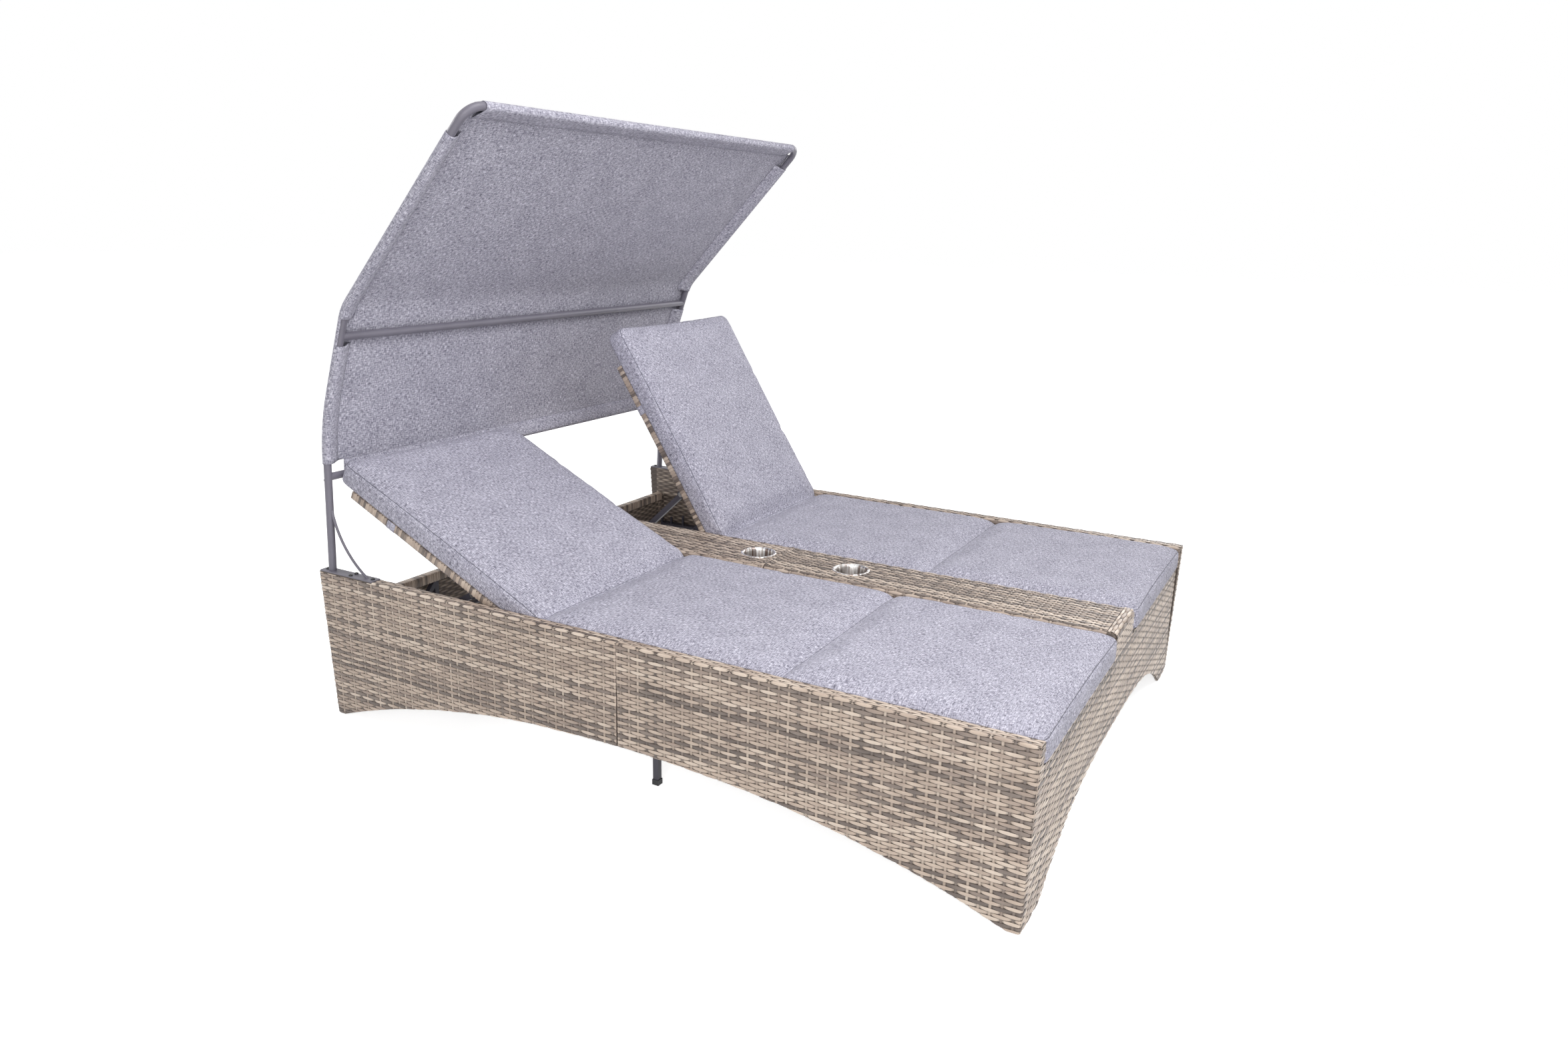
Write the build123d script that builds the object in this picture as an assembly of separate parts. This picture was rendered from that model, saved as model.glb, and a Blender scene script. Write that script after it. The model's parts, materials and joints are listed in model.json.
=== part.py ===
from build123d import *
import math
import os

# Double chaise lounger: two woven beds with a console between them and one canopy.
# Frame: millimetres, +Z up, +Y towards the head, origin on the floor under the middle.
# The near bed is on the -X side and the far bed on the +X side. Pieces are drawn for
# the far side and mirrored for the near side, and only the backrest angles differ.

# Overall size
length = 1960.0
width = 1550.0
side_height = 408.0

# Woven covers and the steel tube inside them
weave = 6.0
panel_depth = 32.0
band_height = 100.0
post_width = 36.0
seam_gap = 2.0
tube = 20.0
tube_wall = 1.5
overrun = 10.0

# Side panel ends and arches
head_taper = 25.0
foot_taper = 9.0
foot_flat = 28.0
arch_rise = 148.0
arch_power = 2.3
arch_points = 7
rim_height = 12.0
rim_depth = 14.0
glide_height = 8.0
cover_lift = 3.0

# End panels between the side panels
head_panel_inset = 28.0
head_panel_height = 312.0
foot_panel_inset = 8.0
end_rail_height = 26.0
end_rail_depth = 24.0
end_tube = 14.0
end_foot = 93.0
end_rise = 142.0
end_power = 3.2
console_end_edge = 12.0
brace_place = 415.0
brace_tube = 14.0
brace_spread = 52.0
brace_drop = 60.0
clip_size = 7.0
clip_width = 21.0
clip_reach = 12.0
clip_count = 4

# Console
console_width = 200.0
console_wall_bottom = 172.0
console_edge = 10.0
border_height = 2.5
border_width = 14.0
cup_clearance = 0.4
head_cup_place = 72.0
foot_cup_place = -224.0
cup_bore = 42.5
cup_wall = 0.8
cup_flange = 52.5
cup_flange_height = 3.0
cup_bead = 1.5
cup_depth = 78.0
cup_outer_round = 2.4
cup_inner_round = 1.6

# Seat deck
deck_top = 348.0
deck_end_gap = 27.0
deck_lip = 22.0
deck_clearance = 1.0
cross_tube_count = 4
leg_tube = 15.0
leg_inset = 95.0
leg_place = -22.0
fit_clearance = 0.5
cap_wall = 1.6
cap_height = 14.0

# Backrest and its hinge
hinge_from_head = 675.0
hinge_height = 356.0
back_length = 630.0
back_gap = 5.0
back_tube_width = 20.0
back_tube_height = 16.0
back_weave = 4.0
back_cross_places = (34.0, 198.0, 410.0, 620.0)
near_angle = 25.2
far_angle = 57.5
hinge_pin = 5.0
pin_clearance = 0.08
ear_thickness = 3.0
ear_clearance = 0.5
ear_foot_reach = 24.0
ear_head_reach = 99.0
ear_peak = 400.0
ear_peak_reach = 41.0
ear_shoulder = 372.0
ear_tail_height = 340.0
pin_head = 8.0
pin_head_height = 2.5
pin_head_gap = 0.6

# Prop and its notched racks
prop_place = 192.0
prop_drop = 26.0
prop_length = 441.0
prop_bar = 16.0
prop_inset = 35.0
prop_pin = 4.0
prop_ear = 4.0
prop_gap = 1.0
prop_ear_width = 26.0
foot_rod = 6.0
foot_height = 201.0
foot_clearance = 1.0
rack_thickness = 6.0
rack_bar_height = 20.0
prong_width = 7.0
prong_gap = 1.0
prong_height = 16.0
prong_step = 11.0
notch_angles = (0.0, 25.2, 41.0, 57.5, 70.0)

# Cushions
cushion_gap = 5.0
cushion_height = 52.0
cushion_crown = 14.0
cushion_seam_inset = 7.0
cushion_shoulder = 11.0
cushion_draw_in = 4.0
cushion_corner = 26.0
cushion_clearance = 0.4
crown_share = 0.7
crown_edge_share = 0.1092
crown_flat_share = 0.2652
leg_cushion_length = 578.0
fold_gap = 2.0
seat_end_gap = 65.0
back_cushion_start = 5.0
back_cushion_end = 664.0
strap_place = 478.0
strap_width = 28.0
strap_thickness = 1.4

# Canopy frame
canopy_tube = 10.0
canopy_wall = 1.2
canopy_inset = 17.0
plate_past_brace = 34.0
plate_thickness = 3.0
plate_corner = 3.0
post_inset = 31.0
post_above_bar = 23.0
spigot_length = 55.0
spigot_clearance = 0.1
front_spigot = 35.0
sweep_inset = 54.0
sweep_above_bar = 137.0
kink_inset = 163.0
kink_above_bar = 437.0
front_inset = 602.0
front_above_bar = 897.0
sweep_radius = 600.0
kink_radius = 120.0
elbow_radius = 45.0
elbow_tail = 40.0
weld_gap = 0.05
lower_bar_height = 667.0
middle_above_lower = 369.0
stub_length = 270.0
brace = 3.5
brace_top_inset = 49.0
brace_top_height = 575.0
brace_middle_inset = 94.0
brace_middle_height = 473.0
brace_foot_inset = 161.0
bolt = 3.0
bolt_hole_clearance = 0.3
bolt_head = 5.5
bolt_head_height = 3.4
bolt_head_round = 2.04
bolt_length = 16.0
bolt_socket = 2.0
plate_bolt_end = 13.0
plate_bolt_from_brace = 51.0
plate_bolt_spread = 9.5
screw_below_bar = 9.0
bolt_room_length = 80.0

# Canopy fabric
sleeve_clearance = 0.3
sleeve_thickness = 2.3
cloth_inner = 10.6
cloth_thickness = 1.7
sleeve_above_bar = 39.0
sleeve_end_gap = 12.0
front_sleeve_gap = 4.0
corner_cut = 46.0
stub_opening = 17.0
hem_inset = 62.0
hem_notch = 40.0
notch_below_sleeve = 10.0
notch_round = 20.0

# Worked out from the sizes above
half_length = length / 2
half_width = width / 2
band_bottom = side_height - band_height
panel_inner = half_width - panel_depth
half_console = console_width / 2
head_low_end = half_length - head_taper
foot_low_end = foot_taper - half_length
head_face = half_length - head_panel_inset
foot_face = foot_panel_inset - half_length
frame_outer = half_width - weave
frame_inner = frame_outer - tube
deck_under = deck_top - weave
rail_top = deck_under - tube
back_outer = panel_inner - back_gap
back_inner = half_console + back_gap + back_gap - cushion_clearance
back_underside = -back_weave / 2 - back_tube_height / 2
back_topside = back_underside + back_tube_height + back_weave
canopy_side = half_width - canopy_inset
plate_top = side_height + plate_thickness
rack_top = foot_height - foot_rod
upright_foot = arch_rise + rim_height + cover_lift + fit_clearance
hinge_place = half_length - hinge_from_head
deck_end = hinge_place - deck_end_gap
ear_foot_end = hinge_place - ear_foot_reach
ear_head_end = hinge_place + ear_head_reach
ear_peak_place = hinge_place + ear_peak_reach
seat_end = hinge_place - seat_end_gap
fold_place = leg_cushion_length - half_length
crown_inset = (seat_end - fold_place - fold_gap / 2) * crown_edge_share
crown_flat_inset = (seat_end - fold_place - fold_gap / 2) * crown_flat_share
post_place = half_length - post_inset
post_top = lower_bar_height + post_above_bar
screw_height = lower_bar_height - screw_below_bar
sleeve_start = lower_bar_height + sleeve_above_bar
sweep_bend = (half_length - sweep_inset, lower_bar_height + sweep_above_bar)
kink_bend = (half_length - kink_inset, lower_bar_height + kink_above_bar)
front_corner = (half_length - front_inset, lower_bar_height + front_above_bar)
middle_bar_height = lower_bar_height + middle_above_lower
brace_foot = half_length - brace_foot_inset
brace_top = (half_length - brace_top_inset, brace_top_height)
brace_middle = (half_length - brace_middle_inset, brace_middle_height)
plate_length = brace_foot_inset + plate_past_brace
plate_bolt_middle = brace_foot_inset - plate_bolt_from_brace


def block(x0, x1, y0, y1, z0, z1):
    """A block between two corners."""
    middle = Pos((x0 + x1) / 2, (y0 + y1) / 2, (z0 + z1) / 2)
    return middle * Box(x1 - x0, y1 - y0, z1 - z0)


def tube_along_y(x0, y0, y1, z0, size=tube):
    """A square steel tube that runs along the bed, open at both ends."""
    outer = block(x0, x0 + size, y0, y1, z0, z0 + size)
    x_in = x0 + tube_wall
    z_in = z0 + tube_wall
    hollow = size - tube_wall - tube_wall
    return outer - block(x_in, x_in + hollow, y0 - overrun, y1 + overrun, z_in, z_in + hollow)


def tube_along_x(x0, x1, y0, z0, size=tube):
    """A square steel tube that runs across the bed, open at both ends."""
    outer = block(x0, x1, y0, y0 + size, z0, z0 + size)
    y_in = y0 + tube_wall
    z_in = z0 + tube_wall
    hollow = size - tube_wall - tube_wall
    return outer - block(x0 - overrun, x1 + overrun, y_in, y_in + hollow, z_in, z_in + hollow)


def upright(x0, y0, z0, z1, size=tube):
    """A square steel tube that stands up, open at both ends."""
    outer = block(x0, x0 + size, y0, y0 + size, z0, z1)
    x_in = x0 + tube_wall
    y_in = y0 + tube_wall
    hollow = size - tube_wall - tube_wall
    return outer - block(x_in, x_in + hollow, y_in, y_in + hollow, z0 - overrun, z1 + overrun)


def rod_along_x(x0, x1, y, z, radius):
    """A round bar across the bed."""
    return Pos((x0 + x1) / 2, y, z) * Rot(0, 90, 0) * Cylinder(radius, x1 - x0)


def side_sheet(points, x0, x1):
    """A flat outline in Y and Z, given thickness from x0 to x1."""
    face = make_face(Polyline(*points, close=True))
    return Pos(x0, 0, 0) * extrude(Plane.YZ * face, amount=x1 - x0)


def outline_sheet(edges, x0, x1):
    """Edges drawn in Y and Z that close on themselves, given thickness from x0 to x1."""
    return Pos(x0, 0, 0) * extrude(Plane.YZ * make_face(edges), amount=x1 - x0)


def cross_sheet(edges, y0, y1):
    """Edges drawn in X and Z that close on themselves, given thickness from y0 to y1."""
    return Pos(0, y1, 0) * extrude(Plane.XZ * make_face(edges), amount=y1 - y0)


def mirrored(shape):
    """The same piece on the other side of the lounger."""
    return mirror(shape, about=Plane.YZ)


def arch_height(place, centre, half_span, rise, power):
    """Height of an arch above the floor at a place along it."""
    share = min(1.0, abs(place - centre) / half_span)
    return rise * (1 - share ** power)


def end_line(end, height):
    """Where the outer edge of a side panel lies at a height: both ends lean inwards."""
    low = head_low_end if end > 0 else foot_low_end
    return low + (end * half_length - low) * height / side_height


arch_head = head_low_end - foot_flat
arch_foot = foot_low_end + foot_flat
arch_centre = (arch_head + arch_foot) / 2
arch_half = (arch_head - arch_foot) / 2
end_arch_half = panel_inner - end_foot


def side_arch_curve(end, lift):
    """The arch under one half of a side panel, raised by lift."""
    start = end * seam_gap / 2
    stop = arch_head if end > 0 else arch_foot
    points = []
    for step in range(arch_points):
        place = start + (stop - start) * step / (arch_points - 1)
        points.append((place, lift + arch_height(place, arch_centre, arch_half, arch_rise, arch_power)))
    return points


def side_cover(end):
    """Half a side panel: woven skin, deep band, wrapped end post and arch rim in one cover."""
    seam = end * seam_gap / 2
    stop = end_line(end, cover_lift)
    arch = side_arch_curve(end, cover_lift)
    foot = arch[-1]
    frame = Polyline(arch[0], (seam, side_height), (end * half_length, side_height), (stop, cover_lift), foot)
    cover = outline_sheet(frame + Spline(*arch), half_width - weave, half_width)
    band_end = end_line(end, band_bottom)
    band = [(seam, band_bottom), (seam, side_height), (end * half_length, side_height), (band_end, band_bottom)]
    cover += side_sheet(band, panel_inner, half_width)
    post = [(stop, cover_lift), (band_end, band_bottom)]
    post += [(band_end - end * post_width, band_bottom), (stop - end * foot_flat, cover_lift)]
    cover += side_sheet(post, panel_inner, half_width)
    raised = side_arch_curve(end, cover_lift + rim_height)
    rim_edges = Polyline(raised[-1], foot) + Spline(*arch) + Polyline(arch[0], raised[0]) + Spline(*raised)
    cover += outline_sheet(rim_edges, half_width - rim_depth, half_width)
    return cover - side_cavities(end)


def inner_post_outline(end, shrink):
    """The slanted space inside a wrapped end post, from the floor up to the lower rail."""
    low = end_line(end, cover_lift) - end * weave
    high = end_line(end, band_bottom + weave) - end * weave
    low_in = low - end * (foot_flat - weave - weave)
    high_in = high - end * (post_width - weave - weave)
    low_in, high_in = low_in + end * shrink, high_in + end * shrink
    low, high = low - end * shrink, high - end * shrink
    return [(low, 0), (high, band_bottom + weave), (high_in, band_bottom + weave), (low_in, 0)]


def side_cavities(end):
    """Room inside the band and the end post for the steel frame."""
    seam = end * seam_gap / 2
    low = band_bottom + weave
    high = side_height - weave
    room = [(seam - end * overrun, low), (seam - end * overrun, high)]
    room += [(end_line(end, high) - end * weave, high), (end_line(end, low) - end * weave, low)]
    cavity = side_sheet(room, frame_inner, frame_outer)
    cavity += side_sheet(inner_post_outline(end, 0), frame_inner, frame_outer)
    return cavity + plate_bolt_holes(end)


def plate_bolt_places():
    """The four bolts of a canopy base plate, as X and Y."""
    middle = half_length - plate_bolt_middle
    head = (canopy_side, half_length - plate_bolt_end)
    foot = (canopy_side, half_length - plate_length + plate_bolt_end)
    return [head, foot, (canopy_side - plate_bolt_spread, middle), (canopy_side + plate_bolt_spread, middle)]


def plate_bolt_holes(end):
    """Clearance holes for the canopy bolts, at the head end only."""
    radius = bolt + bolt_hole_clearance
    holes = Part()
    for x, y in plate_bolt_places():
        holes += Pos(x, y * end, side_height) * Cylinder(radius, bolt_length + bolt_length)
    return holes


def side_frame():
    """Steel tubes inside both halves of a side panel, with the stretcher that holds the rack."""
    pieces = []
    for end in (1, -1):
        seam = end * (seam_gap / 2 + seam_gap)
        for z0 in (side_height - weave - tube, band_bottom + weave):
            stop = end_line(end, z0) - end * weave
            rail = tube_along_y(frame_inner, min(seam, stop), max(seam, stop), z0)
            pieces.append(rail - plate_bolt_holes(end))
        post = inner_post_outline(end, 0)
        pieces.append(side_sheet(post, frame_inner, frame_outer) & below_rail())
        y0 = min(seam, seam + end * tube)
        pieces.append(upright(frame_inner, y0, upright_foot, band_bottom))
    y0 = seam_gap / 2 + seam_gap + tube
    y1 = end_line(1, rack_top) - post_width - seam_gap
    pieces.append(tube_along_y(frame_inner, y0, y1, rack_top - tube))
    return pieces


def below_rail():
    """The space from the glides up to the lower rail, to trim the end posts."""
    return block(0, width, -length, length, glide_height, band_bottom + weave)


def glides():
    """Plastic feet that plug into the corner posts."""
    pieces = []
    for end in (1, -1):
        corner = side_sheet(inner_post_outline(end, cup_clearance), frame_inner, frame_outer)
        pieces.append(corner & block(0, width, -length, length, 0, glide_height))
    return pieces


def end_arch_points(x0, x1, lift):
    """Points of the arch under an end panel between two places across the lounger."""
    points = []
    for step in range(arch_points):
        place = x0 + (x1 - x0) * step / (arch_points - 1)
        points.append((place, lift + arch_height(place, 0, end_arch_half, end_rise, end_power)))
    return points


def end_outline(x0, x1, top):
    """Outline of one end panel: a straight top and the shared arch, with a foot at each side panel."""
    left = max(x0, -end_arch_half)
    right = min(x1, end_arch_half)
    arch = end_arch_points(left, right, cover_lift)
    corners = [arch[-1]]
    if x1 > right:
        corners.append((x1, cover_lift))
    corners += [(x1, top), (x0, top)]
    if x0 < left:
        corners.append((x0, cover_lift))
    corners.append(arch[0])
    return Polyline(*corners) + Spline(*arch)


def end_cover(x0, x1, top, outer_face, inwards):
    """One woven end panel with a wrapped top rail. inwards is the direction into the bed."""
    y_in = outer_face + inwards * weave
    cover = cross_sheet(end_outline(x0, x1, top), min(outer_face, y_in), max(outer_face, y_in))
    y_rail = outer_face + inwards * end_rail_depth
    cover += block(x0, x1, min(outer_face, y_rail), max(outer_face, y_rail), top - end_rail_height, top)
    return cover - end_tube_space(x0, x1, top, outer_face, inwards, cup_clearance)


def console_end():
    """The console's foot end, which is woven in one with the near end panel."""
    depth = end_rail_depth
    y1 = foot_face + depth
    neck = block(-half_console, half_console, foot_face, y1, deck_under, side_height)
    top_edges = neck.edges().filter_by(Axis.X).group_by(Axis.Z)[-1]
    neck = fillet(top_edges.sort_by(Axis.Y)[0], console_end_edge)
    side_edges = [e for e in neck.edges().filter_by(Axis.Y) if e.center().Z > deck_top]
    neck = fillet(side_edges, console_edge)
    inner = half_console - weave
    return neck - block(-inner, inner, foot_face + weave, y1 + overrun, deck_under - overrun, side_height - weave)


def end_tube_space(x0, x1, top, outer_face, inwards, room):
    """The steel tube inside an end panel's top rail, or its bore when room is left."""
    y0 = outer_face + inwards * (end_rail_depth / 2) - end_tube / 2
    z0 = top - end_rail_height / 2 - end_tube / 2
    return block(x0, x1, y0 - room, y0 + end_tube + room, z0 - room, z0 + end_tube + room)


def end_tubes(x0, x1, top, outer_face, inwards):
    """The tube inside an end panel's top rail, with its wall."""
    outer = end_tube_space(x0, x1, top, outer_face, inwards, 0)
    return outer - end_tube_space(x0, x1, top, outer_face, inwards, -tube_wall)


def end_panels():
    """The four end panels. The near ones run on under the console up to the far bed's seam."""
    seam = half_console + seam_gap
    spans = {"near": (-panel_inner, half_console), "far": (seam, panel_inner)}
    covers = {}
    tubes = end_braces()
    for bed, (x0, x1) in spans.items():
        covers[bed + "_head_end_panel"] = end_cover(x0, x1, head_panel_height, head_face, -1)
        covers[bed + "_foot_end_panel"] = end_cover(x0, x1, deck_under, foot_face, 1)
        tubes.append(end_tubes(x0, x1, head_panel_height, head_face, -1))
        tubes.append(end_tubes(x0, x1, deck_under, foot_face, 1))
    covers["near_foot_end_panel"] += console_end()
    return covers, tubes


def end_braces():
    """Uprights inside the head end panels, each with a slanted strut below the top rail."""
    pieces = []
    y1 = head_face - weave
    top = head_panel_height - end_rail_height
    half = brace_tube / 2
    for side in (1, -1):
        x = side * brace_place
        stem = [(x - half, end_rise + cover_lift), (x - half, top), (x + half, top)]
        stem.append((x + half, end_rise + cover_lift))
        pieces.append(cross_sheet(Polyline(*stem, close=True), y1 - brace_tube, y1))
        a = x + side * (half + fit_clearance)
        b = a + side * brace_spread
        strut = [(a, top), (a, top - brace_tube - half), (b - side * half, top - brace_drop)]
        strut += [(b + side * half, top - brace_drop)]
        pieces.append(cross_sheet(Polyline(*strut, close=True), y1 - brace_tube, y1))
    return pieces


def seam_clips():
    """Clips in the upright seam of each end, between the console and the far bed."""
    pieces = []
    for face, inwards in ((foot_face, 1), (head_face, -1)):
        for step in range(clip_count):
            low = end_rise + cover_lift + clip_size
            z = low + (band_bottom - low) * step / clip_count
            y0 = face + inwards * weave
            y1 = y0 + inwards * clip_reach
            x0 = half_console - clip_size
            pieces.append(block(x0, x0 + clip_width, min(y0, y1), max(y0, y1), z, z + clip_size))
    return pieces


def console_cover(end, cup_place):
    """Half of the console: a woven box open below, with rounded edges and a raised seam border."""
    seam = end * seam_gap / 2
    stop = head_face if end > 0 else foot_face + end_rail_depth + fit_clearance
    y0, y1 = min(seam, stop), max(seam, stop)
    shell = block(-half_console, half_console, y0, y1, console_wall_bottom, side_height)
    long_edges = shell.edges().filter_by(Axis.Y).group_by(Axis.Z)[-1]
    shell = fillet(long_edges, console_edge)
    inner = half_console - weave
    shell -= block(-inner, inner, y0 + weave, y1 - weave, console_wall_bottom - overrun, side_height - weave)
    y_cut = head_face - end_rail_depth - seam_gap
    shell -= block(-width, width, y_cut, half_length, console_wall_bottom - overrun, head_panel_height)
    b1 = seam + end * border_width
    rib = block(-half_console, half_console, min(seam, b1), max(seam, b1), side_height, side_height + border_height)
    top_edges = rib.edges().filter_by(Axis.X).group_by(Axis.Z)[-1]
    rib = fillet(top_edges, border_height / 2)
    shell += rib & block(console_edge - half_console, half_console - console_edge, y0, y1, 0, width)
    hole = Pos(0, cup_place, side_height) * Cylinder(cup_bore + cup_wall + cup_clearance, band_height)
    return shell - hole


def console_frame():
    """Steel rails under the console top and behind its walls, joined by cross tubes."""
    pieces = []
    x0 = half_console - weave - tube
    for end in (1, -1):
        seam = end * (seam_gap / 2 + weave)
        stop = head_face - end_rail_depth if end > 0 else foot_face + end_rail_depth + weave
        stop -= end * seam_gap
        y0, y1 = min(seam, stop), max(seam, stop)
        for z0 in (side_height - weave - tube, rack_top - tube):
            pieces.append(tube_along_y(x0, y0, y1, z0))
            pieces.append(tube_along_y(-x0 - tube, y0, y1, z0))
            pieces.append(tube_along_x(-x0, x0, y0, z0))
            pieces.append(tube_along_x(-x0, x0, y1 - tube, z0))
        for corner in (y0, y1 - tube):
            low = rack_top
            high = side_height - weave - tube
            pieces.append(upright(x0, corner, low, high))
            pieces.append(upright(-x0 - tube, corner, low, high))
    return pieces


def cup(place):
    """A drawn steel cup with a turned-over flange, dropped into the console."""
    floor = side_height - cup_depth
    rim = side_height + cup_flange_height
    body = Cylinder(cup_bore + cup_wall, side_height - floor, align=(Align.CENTER, Align.CENTER, Align.MIN))
    body = Pos(0, place, floor) * body
    body = fillet(body.edges().group_by(Axis.Z)[0], cup_outer_round)
    lip = Cylinder(cup_flange, cup_flange_height, align=(Align.CENTER, Align.CENTER, Align.MIN))
    lip = fillet(lip.edges().group_by(Axis.Z)[-1], cup_bead)
    body += Pos(0, place, side_height) * lip
    bore = Cylinder(cup_bore, cup_depth + cup_flange_height, align=(Align.CENTER, Align.CENTER, Align.MIN))
    bore = fillet(bore.edges().group_by(Axis.Z)[0], cup_inner_round)
    body -= Pos(0, place, floor + cup_wall) * bore
    mouth = [e for e in body.edges().filter_by(GeomType.CIRCLE) if abs(e.center().Z - rim) < cup_wall]
    inner_mouth = [e for e in mouth if e.radius < cup_bore + cup_wall]
    return fillet(inner_mouth, cup_bead)


def deck_cover():
    """The woven seat platform of the far bed, with its edge turned down at the hinge."""
    x0 = half_console + deck_clearance
    x1 = panel_inner - deck_clearance
    cover = block(x0, x1, foot_face, deck_end, deck_under, deck_top)
    cover += block(x0, x1, deck_end - weave, deck_end, deck_top - deck_lip, deck_top)
    return cover


def rail_places():
    """Left faces of the two long rails of the far bed, each against its hinge plate."""
    outer = panel_inner - ear_clearance - ear_thickness - tube
    inner = half_console + ear_clearance + ear_thickness
    return (outer, inner)


def deck_frame():
    """Two long rails and the cross tubes that carry the seat platform of the far bed."""
    start = foot_face + end_rail_depth + seam_gap
    pieces = [tube_along_y(x0, start, ear_head_end, rail_top - tube) for x0 in rail_places()]
    middle = leg_place - tube / 2
    places = [start + (middle - start) * step / (cross_tube_count - 1) for step in range(cross_tube_count)]
    places.append(deck_end - weave - deck_clearance - tube)
    for y0 in places:
        pieces.append(tube_along_x(half_console, panel_inner, y0, rail_top))
    return pieces


def middle_legs():
    """Slim legs under the middle of the far bed, and the caps on their lower ends."""
    legs = []
    caps = []
    for x in (panel_inner - leg_inset, half_console + leg_inset):
        x0 = x - leg_tube / 2
        y0 = leg_place - leg_tube / 2
        legs.append(upright(x0, y0, cap_wall, rail_top, leg_tube))
        outer = leg_tube + cap_wall + cap_wall
        cap = block(x0 - cap_wall, x0 - cap_wall + outer, y0 - cap_wall, y0 - cap_wall + outer, 0, cap_height)
        caps.append(cap - block(x0, x0 + leg_tube, y0, y0 + leg_tube, cap_wall, cap_height + overrun))
    return legs, caps


def hinge_plate(x0):
    """One upright hinge plate: riveted to a long rail, with a raised peak beside the backrest."""
    outline = [(ear_foot_end, rail_top - tube), (ear_head_end, rail_top - tube)]
    outline += [(ear_head_end, ear_tail_height), (ear_peak_place, ear_peak)]
    outline += [(ear_peak_place - tube, ear_peak), (ear_foot_end, ear_shoulder)]
    return side_sheet(outline, x0, x0 + ear_thickness)


def hinge_plates():
    """Both hinge plates of the far bed, each with a hole for its pin."""
    plates = []
    for x0 in (panel_inner - ear_clearance - ear_thickness, half_console + ear_clearance):
        hole = rod_along_x(x0 - overrun, x0 + overrun, hinge_place, hinge_height, hinge_pin)
        plates.append(hinge_plate(x0) - hole)
    return plates


def hinge_pins():
    """Pins held in the hinge plates, through the side tubes, with a head inside the backrest."""
    pins = []
    outer_start = panel_inner - ear_clearance
    inner_start = half_console + ear_clearance
    ends = ((outer_start, back_outer - back_tube_width, -1), (inner_start, back_inner + back_tube_width, 1))
    for start, face, inwards in ends:
        seat = face + inwards * pin_head_gap
        stop = seat + inwards * pin_head_height
        pin = rod_along_x(min(start, seat), max(start, seat), hinge_place, hinge_height, hinge_pin)
        pin += rod_along_x(min(seat, stop), max(seat, stop), hinge_place, hinge_height, pin_head)
        pins.append(pin)
    return pins


def raised(shape, angle):
    """Turn a backrest piece, drawn flat, up about the hinge."""
    about = Pos(0, hinge_place, hinge_height) * Rot(angle, 0, 0) * Pos(0, -hinge_place, -hinge_height)
    return about * shape


def back_y(along):
    """Y of a place along the flat backrest, measured from the hinge."""
    return hinge_place + along


def back_z(offset):
    """Z of a height over the hinge on the flat backrest."""
    return hinge_height + offset


def back_frame():
    """Welded backrest frame, drawn flat: two side tubes with round eyes, and cross tubes."""
    z0, z1 = back_z(back_underside), back_z(back_underside + back_tube_height)
    bore = hinge_pin + pin_clearance
    pieces = []
    for x0 in (back_outer - back_tube_width, back_inner):
        x1 = x0 + back_tube_width
        side = block(x0, x1, hinge_place, back_y(back_length), z0, z1)
        side += rod_along_x(x0, x1, hinge_place, (z0 + z1) / 2, back_tube_height / 2)
        side -= block(x0 + tube_wall, x1 - tube_wall, back_y(back_tube_width), back_y(back_length) + overrun,
                      z0 + tube_wall, z1 - tube_wall)
        pieces.append(side - rod_along_x(x0 - overrun, x1 + overrun, hinge_place, hinge_height, bore))
    x0, x1 = back_inner + back_tube_width, back_outer - back_tube_width
    for along in back_cross_places:
        y0, y1 = back_y(along) - back_tube_width / 2, back_y(along) + back_tube_width / 2
        cross = block(x0, x1, y0, y1, z0, z1)
        pieces.append(cross - block(x0 - overrun, x1 + overrun, y0 + tube_wall, y1 - tube_wall, z0 + tube_wall,
                                    z1 - tube_wall))
    return pieces


def back_cover():
    """Woven sheet over the flat backrest frame."""
    z0 = back_z(back_underside + back_tube_height)
    y0 = back_y(back_tube_width)
    return block(back_inner, back_outer, y0, back_y(back_length), z0, z0 + back_weave)


def leg_places():
    """Middle of each prop leg of the far bed, across the lounger."""
    return (back_outer - prop_inset, back_inner + prop_inset)


def prop_ears():
    """Ears under the flat backrest and the pins that the prop swings on."""
    ears = []
    pins = []
    top = back_z(back_underside)
    y, z = back_y(prop_place), back_z(-prop_drop)
    for x in leg_places():
        inner = prop_bar / 2 + prop_gap
        for x0 in (x - inner - prop_ear, x + inner):
            plate = block(x0, x0 + prop_ear, y - prop_ear_width / 2, y + prop_ear_width / 2, z, top)
            plate += rod_along_x(x0, x0 + prop_ear, y, z, prop_ear_width / 2)
            ears.append(plate - rod_along_x(x0 - overrun, x0 + prop_ear + overrun, y, z, prop_pin))
        reach = inner + prop_ear
        pin = rod_along_x(x - reach, x + reach, y, z, prop_pin)
        pin += rod_along_x(x - reach - pin_head_height, x - reach, y, z, pin_head)
        pin += rod_along_x(x + reach, x + reach + pin_head_height, y, z, pin_head)
        pins.append(pin)
    return ears, pins


def prop_pivot(angle):
    """Y and Z of the prop's pivot with the backrest at an angle."""
    c, s = math.cos(math.radians(angle)), math.sin(math.radians(angle))
    y = hinge_place + prop_place * c + prop_drop * s
    z = hinge_height + prop_place * s - prop_drop * c
    return y, z


def prop_foot(angle):
    """Y of the foot rod when it stands in the rack with the backrest at an angle."""
    y, z = prop_pivot(angle)
    return y + math.sqrt(prop_length ** 2 - (z - foot_height) ** 2)


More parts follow.
